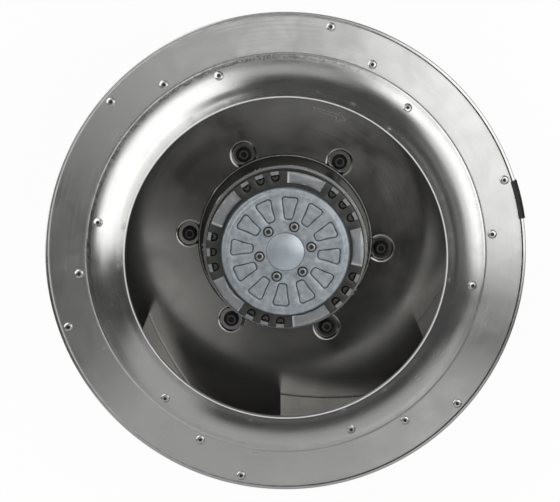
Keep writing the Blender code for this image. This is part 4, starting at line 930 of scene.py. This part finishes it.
def makePlateRivets(look):
    # Three rivets for each blade, at distances along its arc and a little way out on its foot
    foot, normal = bladeArc(bladeLook, np.array(look["along"]))
    places = lifted(foot + look["offset"] * normal, 0.0)
    one = placedCopies(revolved(look["profile"], look["steps"]), places)
    angles = evenAngles(6, fan["bladePhase"])
    return [copy for shape in one for copy in turnedCopies(shape, angles)]


addPiece("plateRivets", makePlateRivets(plateRivetLook), rivetAluminium)
print("fasteners made")


# Rotor bell

bellLook = {
    "steps": 360,
    "profile": ((0.0842, 0.186), (0.08476, 0.18576), (0.085, 0.1852), (0.085, 0.1638),
                (0.0858, 0.163), (0.0892, 0.163), (0.0896, 0.1626), (0.0896, 0.162),
                (0.0907, 0.14655), (0.0918, 0.1311), (0.0929, 0.11565), (0.094, 0.1002),
                (0.0946, 0.0982), (0.096, 0.0972), (0.1199, 0.0972), (0.1205, 0.0966),
                (0.1205, 0.0901), (0.1199, 0.0895), (0.0858, 0.0895), (0.0858, 0.159),
                (0.0805, 0.159), (0.0805, 0.179), (0.026, 0.179), (0.026, 0.168),
                (0.0135, 0.168), (0.0135, 0.1648), (0.0103, 0.1648), (0.0103, 0.186),
                (0.0627, 0.186)),
    "faceRadii": (0.0627, 0.070, 0.075, 0.080, 0.0842),
    "pocketDepth": 0.003,
    "pocketWall": 0.0012,
    "pocketHalf": 0.0047,
    "pocketInner": 0.0730,
    "pocketOuter": 0.0805,
    "groupPhase": math.radians(2.0),
    "pitch": math.radians(12.0),
}


def pocketPatch(outline, centre, boundary, top, look):
    # Part of a face with one pocket, from the middle of its floor to the rounded upper edge: the
    # outline is drawn in by a share of the wall at each share of the depth
    depth, wall = look["pocketDepth"], look["pocketWall"]
    spokes = boundary - np.array(centre)
    full = reach(outline, centre, np.arctan2(spokes[:, 1], spokes[:, 0]))
    floor = top - depth * 0.4
    steps = ((1.8, 0.40), (1.5, 0.43), (1.3, 0.6), (1.1, 0.95), (0.85, 1.15), (0.6, 1.1),
             (0.35, 0.75), (0.15, 0.25), (0.0, 0.05), (-0.3, 0.0))
    walls = [(full - wall * inset, top - depth * drop) for inset, drop in steps]
    return starPatch(centre, boundary, top, [(0.0, floor), (full * 0.55, floor)] + walls)


def pocketAngles(look):
    # Five groups of three, between the raised plates
    return [middle + k * look["pitch"] for middle in evenAngles(5, look["groupPhase"] + turn / 10)
            for k in (-1, 0, 1)]


def ringPockets(look):
    # Sector of 12 degrees with one U-shaped pocket, its round end toward the shaft
    half, outer = look["pocketHalf"], look["pocketOuter"]
    middle = look["pocketInner"] + half
    bow = np.linspace(math.pi / 2, 3 * math.pi / 2, 24)
    outline = np.concatenate([[middle, 0] + half * unitVectors(bow),
                              [(outer, -half), (outer, half)]])
    boundary = sectorOutline(look["faceRadii"][0], look["faceRadii"][-1], look["pitch"] / 2, 12, 8)
    patch = pocketPatch(outline, (middle - 0.0005, 0.0), boundary, fan["ringFace"], look)
    return turnedCopies(patch, pocketAngles(look))


def makeBell(look):
    # Closed profile of the bell without its top face; that face is made of pocket sectors and of
    # plain sectors between them
    half = (turn / 5 - 3 * look["pitch"]) / 2
    band = [(radius, fan["ringFace"]) for radius in look["faceRadii"]]
    plain = [revolved(band, 36, start=angle - half, sweep=2 * half)
             for angle in evenAngles(5, look["groupPhase"])]
    return [revolved(look["profile"], look["steps"])] + plain + ringPockets(look)


addPiece("rotorBell", makeBell(bellLook), darkCasting, ["rotor_housing"])


lipLook = {  # turned steel ring on the shelf of the bell, with two fine ridges
    "steps": 360,
    "profile": ((0.0853, 0.1628), (0.0853, 0.1640), (0.0857, 0.1645), (0.0863, 0.1645),
                (0.0867, 0.1640), (0.0875, 0.1640), (0.0879, 0.1646), (0.0886, 0.1646),
                (0.0892, 0.1641), (0.0894, 0.1634), (0.0894, 0.1628)),
}
beadLook = {  # bead round the base of the bell
    "steps": 360,
    "profile": ((0.0941, 0.1038), (0.0941, 0.1046), (0.0946, 0.1050), (0.0953, 0.1050),
                (0.0958, 0.1046), (0.0958, 0.1038)),
}


def raisedPad(outline, centre, look):
    # Closed pad on a star-shaped outline: rings from the middle of the top down its sides
    top, bottom, bevel, dome = (look[key] for key in ("top", "bottom", "bevel", "dome"))
    angles = np.linspace(-math.pi, math.pi, 160, endpoint=False)
    full = reach(outline, centre, angles)
    rings = [(0.0, top + dome), (full * 0.5, top + dome * 0.75), (full * 0.8, top + dome * 0.3),
             (full - 1.6 * bevel, top), (full - 1.1 * bevel, top + 0.0002),
             (full - 0.5 * bevel, top + 0.0001), (full, top - bevel), (full, bottom),
             (full * 0.5, bottom), (0.0, bottom)]
    return gridSurface(np.stack(ringRows(centre, unitVectors(angles), rings)), wrapColumns=True)


def barPad(look, middle=0.0):
    # Rounded bar between two radii, its middle line at a distance from the X axis
    inner, outer = look["inner"], look["outer"]
    low, high = middle - look["half"], middle + look["half"]
    outline = rounded([(inner, low), (outer, low), (outer, high), (inner, high)], look["corner"])
    return raisedPad(outline, ((inner + outer) / 2, middle), look)


cardLook = {
    "inner": 0.0717,
    "outer": 0.0842,
    "arc": math.radians(30.0),
    "top": 0.188,
    "bottom": 0.1858,
    "bevel": 0.0009,
    "dome": 0.0004,
}


def makeCards(look):
    # Bare plates where the real fan has labelled ones
    inner, outer = look["inner"], look["outer"]
    outline = sectorOutline(inner, outer, look["arc"] / 2, 40, 10)
    card = raisedPad(outline, ((inner + outer) / 2, 0.0), look)
    return turnedCopies(card, evenAngles(5, bellLook["groupPhase"]))


addPiece("labelPads", makeCards(cardLook), labelMetal)
addPiece("rotorLip", [turnedRing(lipLook), turnedRing(beadLook)], lipSteel)

lugLook = {  # pairs of small ribs across the lip
    "angles": np.radians((39.5, 109.5, 180.0, 252.0, 327.0)),
    "apart": 0.0028,
    "inner": 0.0850,
    "outer": 0.0903,
    "half": 0.0009,
    "corner": 0.0005,
    "top": 0.1655,
    "bottom": 0.1618,
    "bevel": 0.0003,
    "dome": 0.0,
}
lugs = [copy for side in (-1, 1)
        for copy in turnedCopies(barPad(lugLook, side * lugLook["apart"]), lugLook["angles"])]
addPiece("lipLugs", lugs, labelMetal)

landLook = {
    "inner": 0.0806,
    "outer": 0.0846,
    "half": 0.0044,
    "corner": 0.0004,
    "top": 0.1864,
    "bottom": 0.1858,
    "bevel": 0.0002,
    "dome": 0.0,
}
addPiece("rimLands", turnedCopies(barPad(landLook), pocketAngles(bellLook)), labelMetal)


# Rotor cover, its screws and cap

coverLook = {
    "steps": 360,
    "rimBand": ((0.0615, 0.205), (0.0629, 0.205), (0.0635, 0.2046), (0.0641, 0.2045),
                (0.0667, 0.2045), (0.0675, 0.2042), (0.0683, 0.2034), (0.0687, 0.2024),
                (0.0687, 0.1863), (0.0637, 0.1863), (0.0637, 0.198), (0.034, 0.198),
                (0.034, 0.1863), (0.0, 0.1863)),
    "hubBand": ((0.0, 0.202), (0.0204, 0.202), (0.0204, 0.2046), (0.0208, 0.205), (0.025, 0.205),
                (0.0315, 0.205)),
    "innerLand": 0.0315,
    "outerLand": 0.0615,
    "pocketCentre": 0.0475,
    "pocketCorners": ((0.0336, -0.0045), (0.0590, -0.0100), (0.0590, 0.0100), (0.0336, 0.0045)),
    "corner": 0.0035,
    "pocketDepth": 0.002,
    "pocketWall": 0.0013,
    "phase": math.radians(-5.0),
}


def makeCover(look):
    # Twelve sectors, each a patch with a rounded trapezoid pocket, between plain turned bands
    half = turn / 24
    boundary = sectorOutline(look["innerLand"], look["outerLand"], half, 30, 16)
    patch = pocketPatch(rounded(look["pocketCorners"], look["corner"]),
                        (look["pocketCentre"], 0.0), boundary, fan["coverFace"], look)
    bands = [revolved(look[band], look["steps"], start=look["phase"] - half)
             for band in ("rimBand", "hubBand")]
    return bands + turnedCopies(patch, evenAngles(12, look["phase"]))


addPiece("rotorCover", makeCover(coverLook), coverCasting, ["rotor_cover"])

coverScrewLook = {
    "seat": 0.2053,
    "flangeRadius": 0.0042,
    "flange": 0.0009,
    "headRadius": 0.0041,
    "headHeight": 0.0017,
    "socket": 0.0022,
    "socketDepth": 0.0019,
    "shank": 0.003,
    "length": 0.0253,
    "steps": 36,
    "circle": 0.028,
    "phase": math.radians(10.5),
}
screwWasherLook = {
    "steps": 36,
    "profile": ((0.0031, 0.0), (0.0056, 0.0), (0.0056, 0.0009), (0.0052, 0.0013),
                (0.0031, 0.0013)),
}
screwPlaces = onCircle(coverScrewLook["circle"], evenAngles(6, coverScrewLook["phase"]),
                       coverScrewLook["seat"])
# Black disc low in each screw socket: painted shade in the socket
socketShadeDisc = holeShadeDisc(radius=0.00242, top=0.0016, thickness=0.0006, steps=18)
addPiece("coverScrews", placedCopies(socketScrew(coverScrewLook), screwPlaces), labelMetal,
         [f"cover_screw_{n}" for n in range(1, 7)])
addPiece("screwWashers", placedCopies(turnedRing(screwWasherLook), screwPlaces), blackSteel)
addPiece("screwSocketShade", placedCopies(socketShadeDisc, screwPlaces), blackSteel)

capLook = {
    "radius": 0.0202,
    "bottom": 0.2023,
    "top": 0.2075,
    "crown": 0.0020,
    "edge": 0.0009,
    "steps": 144,
}


def makeCap(look):
    # Shallow dome z = top - crown (r / R)^2, then a quarter round edge
    radius, edge, bottom = look["radius"], look["edge"], look["bottom"]
    flat = radius - edge
    radii = np.linspace(0, flat, 24)
    dome = np.column_stack([radii, look["top"] - look["crown"] * (radii / flat) ** 2])
    turned = np.linspace(0.2, math.pi / 2, 7)
    side = np.column_stack([flat + edge * np.sin(turned),
                            dome[-1, 1] - edge * (1 - np.cos(turned))])
    return revolved(np.concatenate([dome, side, [(radius, bottom), (0.0, bottom)]]), look["steps"])


def softPlastic(name, colour, second, roughness, coat, scale, metallic=0.0):
    # Moulded plastic: faint flow clouds in the colour, fine texture in the roughness
    made, tree, shader = newMaterial(name, metallic, Coat_Weight=coat, Coat_Roughness=0.12)
    place = objectPlace(tree)
    cloud = noise(tree, place, scale, 3.0, 0.6, 0.5)
    fine = noise(tree, place, scale * 22.0, 2.0, 0.5)
    wire(tree, shader, blend(tree, ranged(tree, cloud, 0.0, 1.0, 0.35, 0.7), colour, second),
         plus(tree, swing(tree, fine, 0.03), roughness))
    bump(tree, shader, fine, 0.02, 0.0002)
    return made


capPlastic = softPlastic("capPlastic", (0.52, 0.58, 0.63), (0.56, 0.62, 0.67), 0.30, 0.3, 60.0,
                         0.7)
addPiece("centreCap", [makeCap(capLook)], capPlastic, ["centre_cap"])
print("rotor made")


# The rest of the CAD nodes

def dressNodes(names, material):
    for name in names:
        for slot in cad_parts[name].material_slots:
            slot.material = material


groundSteel = spunMetal("groundSteel", {
    "colour": (0.66, 0.66, 0.67), "dirtColour": (0.45, 0.44, 0.42), "dirt": 0.4,
    "roughness": 0.20, "anisotropic": 0.3, "circleScale": 3000.0, "blotchScale": 90.0,
    "streaks": 0.15, "bump": 0.06})
stackedSteel = spunMetal("stackedSteel", {
    "colour": (0.33, 0.33, 0.34), "dirtColour": (0.16, 0.15, 0.14), "dirt": 0.6,
    "roughness": 0.42, "anisotropic": 0.3, "circleScale": 2600.0, "blotchScale": 60.0,
    "streaks": 0.5, "bump": 0.4})
enamelledCopper = spunMetal("enamelledCopper", {
    "colour": (0.62, 0.26, 0.11), "dirtColour": (0.38, 0.13, 0.05), "dirt": 0.6,
    "roughness": 0.30, "anisotropic": 0.4, "circleScale": 1300.0, "blotchScale": 120.0,
    "streaks": 0.6, "bump": 0.6})
ferrite = castMetal("ferrite", {
    "colour": (0.045, 0.045, 0.050), "stain": (0.065, 0.063, 0.064), "bare": (0.13, 0.13, 0.13),
    "rubbed": 0.3, "metallic": 0.2, "specular": 0.4, "roughness": 0.55, "cloudScale": 120.0,
    "grainScale": 1500.0, "bump": 0.25})
blackPlastic = softPlastic("blackPlastic", (0.025, 0.025, 0.026), (0.035, 0.035, 0.036), 0.45,
                           0.0, 80.0)
blackRubber = softPlastic("blackRubber", (0.018, 0.018, 0.018), (0.030, 0.030, 0.029), 0.75, 0.0,
                          160.0)
boardLacquer = softPlastic("boardLacquer", (0.020, 0.120, 0.050), (0.030, 0.160, 0.070), 0.38,
                           0.4, 220.0)
dressNodes(["stator_housing", "electronics_cover"], housingCasting)
dressNodes(["balance_clip"], blackSteel)
dressNodes(["rotor_shaft", "front_bearing_outer", "front_bearing_inner", "front_bearing_cage",
            "rear_bearing_outer", "rear_bearing_inner", "rear_bearing_cage", "preload_spring"],
           groundSteel)
dressNodes(["rotor_yoke", "stator_core"], stackedSteel)
dressNodes(["stator_winding"], enamelledCopper)
dressNodes(["magnet_ring"], ferrite)
dressNodes(["circuit_board"], boardLacquer)
dressNodes(["cover_gasket"], blackRubber)
dressNodes(["cable_gland_1", "cable_gland_2"], blackPlastic)

rearScrewLook = {
    "count": 8,
    "steps": 24,
    "circle": 0.0852,
    "phase": math.radians(22.5),
    "seat": 0.0017,
    "profile": ((0.0, 0.0006), (0.0013, 0.0006), (0.0014, 0.0011), (0.0026, 0.0011),
                (0.0034, 0.0006), (0.0036, 0.0), (0.0016, 0.0), (0.0016, -0.0040),
                (0.0, -0.0040)),
}


def makeRearScrews(look):
    # Low screw heads on a circle under the electronics cover, each turned to face down
    places = onCircle(look["circle"], evenAngles(look["count"], look["phase"]), look["seat"])
    points, quads = revolved(look["profile"], look["steps"])
    return [(points * [1, -1, -1] + place, quads) for place in places]


addPiece("rearCoverScrews", makeRearScrews(rearScrewLook), groundSteel,
         body="stator")
print("hidden parts dressed")


# Studio

studio = {
    "floorSize": 14.0,
    "floorDrop": 0.0005,
    "floorGrey": (0.80, 0.83),
    "floorSeen": 0.955,
    "worldGrey": 0.5,
    "surroundRadius": 3.0,
    "surroundLift": 0.2,
    "surroundFloor": 0.27,
    "poleTilt": math.radians(7.0),
    "baseLevel": 0.06,
    "lampTarget": (0, 0, 0.15),
}

# Panels of the surround, painted one over the other: azimuth of the middle, half width and soft edge
# in degrees, then the same for the angle from the pole, then the level
panels = (
    (272, 54, 14, 18, 38, 34, 0.38),
    (228, 16, 12, 60, 42, 16, 0.38),
    (308, 14, 14, 14, 8, 6, 0.43),
    (38, 88, 130, 15, 7, 5, 0.96),
    (28, 34, 16, 30, 14, 8, 1.55),
    (18, 22, 14, 48, 9, 10, 0.80),
    (15, 25, 20, 74, 10, 10, 0.16),
    (92, 22, 18, 48, 14, 12, 0.40),
    (146, 38, 14, 58, 26, 14, 1.35),
    (154, 30, 20, 108, 28, 14, 1.35),
    (187, 28, 14, 18, 15, 7, 0.02),
    (196, 9, 8, 88, 42, 10, 0.05),
    (189, 10, 8, 33, 14, 8, 0.05),
    (341, 11, 10, 20, 26, 10, 0.05),
    (327, 9, 10, 30, 9, 10, 0.45),
    (134, 56, 24, 20.5, 2.0, 3, 0.12),
    (0, 200, 1, 131, 14, 6, 0.30),
    (72, 34, 40, 131, 14, 6, 0.80),
    (5, 40, 30, 131, 14, 6, 0.08),
    (0, 200, 1, 0, 8.5, 3, 0.025),
    (326, 44, 24, 7, 4.4, 3, 0.03),
    (206, 36, 30, 7.3, 3.0, 2.4, 0.62),
)


def pathLevel(tree, plain, seen):
    # One level where the camera, a reflection or a pane sees it, and a plain one for all other rays
    path = addNode(tree, "ShaderNodeLightPath")
    direct = calc(tree, "MAXIMUM", path.outputs["Is Camera Ray"], path.outputs["Is Glossy Ray"])
    direct = calc(tree, "MAXIMUM", direct, path.outputs["Is Transmission Ray"])
    return ranged(tree, direct, plain, seen)


def makeFloor(look):
    size = look["floorSize"] / 2
    axis = np.linspace(-size, size, 9)
    x, y = np.meshgrid(axis, axis, indexing="ij")
    surface = gridSurface(np.stack([x, y, 0 * x - look["floorDrop"]], axis=-1))
    mesh = joinedMesh("floor", [surface], recalculate=False)
    material, tree, shader = newMaterial("floorPaper", 0.0, Roughness=0.9)
    place = objectPlace(tree)
    fibre = noise(tree, place, 240.0, 3.0, 0.6)
    low, high = look["floorGrey"]
    tree.links.new(blend(tree, fibre, (low, low, low), (high, high, high)),
                   shader.inputs["Base Color"])
    glow = addNode(tree, "ShaderNodeEmission", {"Color": (1, 1, 1, 1), "Strength": 1.0})
    mixer = addNode(tree, "ShaderNodeMixShader", {0: pathLevel(tree, 0.0, look["floorSeen"]),
                                                  1: shader.outputs[0], 2: glow.outputs[0]})
    tree.links.new(mixer.outputs[0], tree.nodes["Material Output"].inputs["Surface"])
    mesh.materials.append(material)
    addObject("floor", mesh)


def makeWorld(look):
    world = bpy.data.worlds.new("studioWorld")
    bpy.context.scene.world = world
    world.use_nodes = True
    tree = world.node_tree
    background = tree.nodes["Background"]
    background.inputs["Color"].default_value = (1.0, 1.0, 1.0, 1.0)
    tree.links.new(pathLevel(tree, look["worldGrey"], 1.0), background.inputs["Strength"])


def softBand(value, middle, half, edge):
    return 1 - smoothStep(half - edge / 2, half + edge / 2, np.abs(value - middle))


def makeSurround(look):
    # Dome over the fan, a wall and a floor ring, seen by reflections alone. Its brightness is a base
    # level, then each panel is mixed in by its soft band in azimuth times its band from the pole
    radius, lift = look["surroundRadius"], look["surroundLift"]
    polar = np.linspace(0, math.pi / 2, 90)
    dome = np.column_stack([radius * np.sin(polar), lift + radius * np.cos(polar)])
    ground = np.column_stack([np.geomspace(radius, look["surroundFloor"], 40),
                              np.full(40, 0.002)])
    points, quads = revolved(np.concatenate([dome, ground]), 240)
    tilt = look["poleTilt"]
    pole = np.array([0.0, -math.sin(tilt), math.cos(tilt)])
    ray = points - [0, 0, lift]
    ray = ray / np.linalg.norm(ray, axis=1, keepdims=True)
    fromPole = np.degrees(np.arccos(np.clip(ray @ pole, -1, 1)))
    side = ray - (ray @ pole)[:, None] * pole
    azimuth = np.degrees(np.arctan2(side @ np.cross(pole, [1, 0, 0]), side[:, 0]))
    level = np.full(len(points), look["baseLevel"])
    for middle, half, edge, height, tall, fade, strength in panels:
        off = np.abs((azimuth - middle + 180) % 360 - 180)
        mask = softBand(off, 0, half, edge) * softBand(fromPole, height, tall, fade)
        level += (strength - level) * mask
    mesh = filledMesh("studioSurround", points, quads)
    paint = mesh.attributes.new("level", "FLOAT", "POINT")
    paint.data.foreach_set("value", level)
    material = bpy.data.materials.new("surroundPaint")
    material.use_nodes = True
    tree = material.node_tree
    tree.nodes.clear()
    source = addNode(tree, "ShaderNodeAttribute", attribute_name="level")
    glow = addNode(tree, "ShaderNodeEmission", {"Strength": source.outputs["Fac"]})
    output = addNode(tree, "ShaderNodeOutputMaterial")
    tree.links.new(glow.outputs[0], output.inputs["Surface"])
    material.cycles.emission_sampling = "NONE"
    mesh.materials.append(material)
    made = addObject("studioSurround", mesh)
    for kind in ("camera", "diffuse", "transmission", "volume_scatter", "shadow"):
        setattr(made, "visible_" + kind, False)


lampLook = (
    {"name": "keyLamp", "place": (-1.6, 1.4, 3.2), "size": 1.6, "power": 34.0},
    {"name": "fillLamp", "place": (1.9, 0.6, 2.8), "size": 1.8, "power": 21.0},
    {"name": "lowLamp", "place": (0.4, -2.2, 2.2), "size": 1.8, "power": 18.0},
)


def makeLamps(looks):
    for look in looks:
        data = bpy.data.lights.new(look["name"], "AREA")
        data.shape = "DISK"
        data.size = look["size"]
        data.energy = look["power"]
        lamp = addObject(look["name"], data)
        lamp.location = look["place"]
        aim = Vector(studio["lampTarget"]) - Vector(look["place"])
        lamp.rotation_euler = aim.to_track_quat("-Z", "Y").to_euler()
        lamp.visible_glossy = False


cameraLook = {
    "tilt": math.radians(6.8),
    "distance": 2.5,
    "lens": 145.0,
    "sensor": 36.0,
    "clipEnd": 50.0,
    "aim": (-0.0058, 0, 0.1),
    "drop": 0.0117,
}


def makeCamera(look):
    # Pinhole found from the circles in the photo, tipped from the shaft
    tilt = look["tilt"]
    data = bpy.data.cameras.new("camera")
    data.sensor_width = look["sensor"]
    data.lens = look["lens"]
    data.clip_end = look["clipEnd"]
    camera = addObject("camera", data)
    back = Vector((0, math.sin(tilt), math.cos(tilt)))
    up = Vector((0, math.cos(tilt), -math.sin(tilt)))
    camera.location = Vector(look["aim"]) + look["distance"] * back - look["drop"] * up
    camera.rotation_euler = (-tilt, 0, 0)
    bpy.context.scene.camera = camera


makeFloor(studio)
makeWorld(studio)
makeSurround(studio)
makeLamps(lampLook)
makeCamera(cameraLook)
bpy.context.scene.view_settings.view_transform = "Standard"
print("studio made")
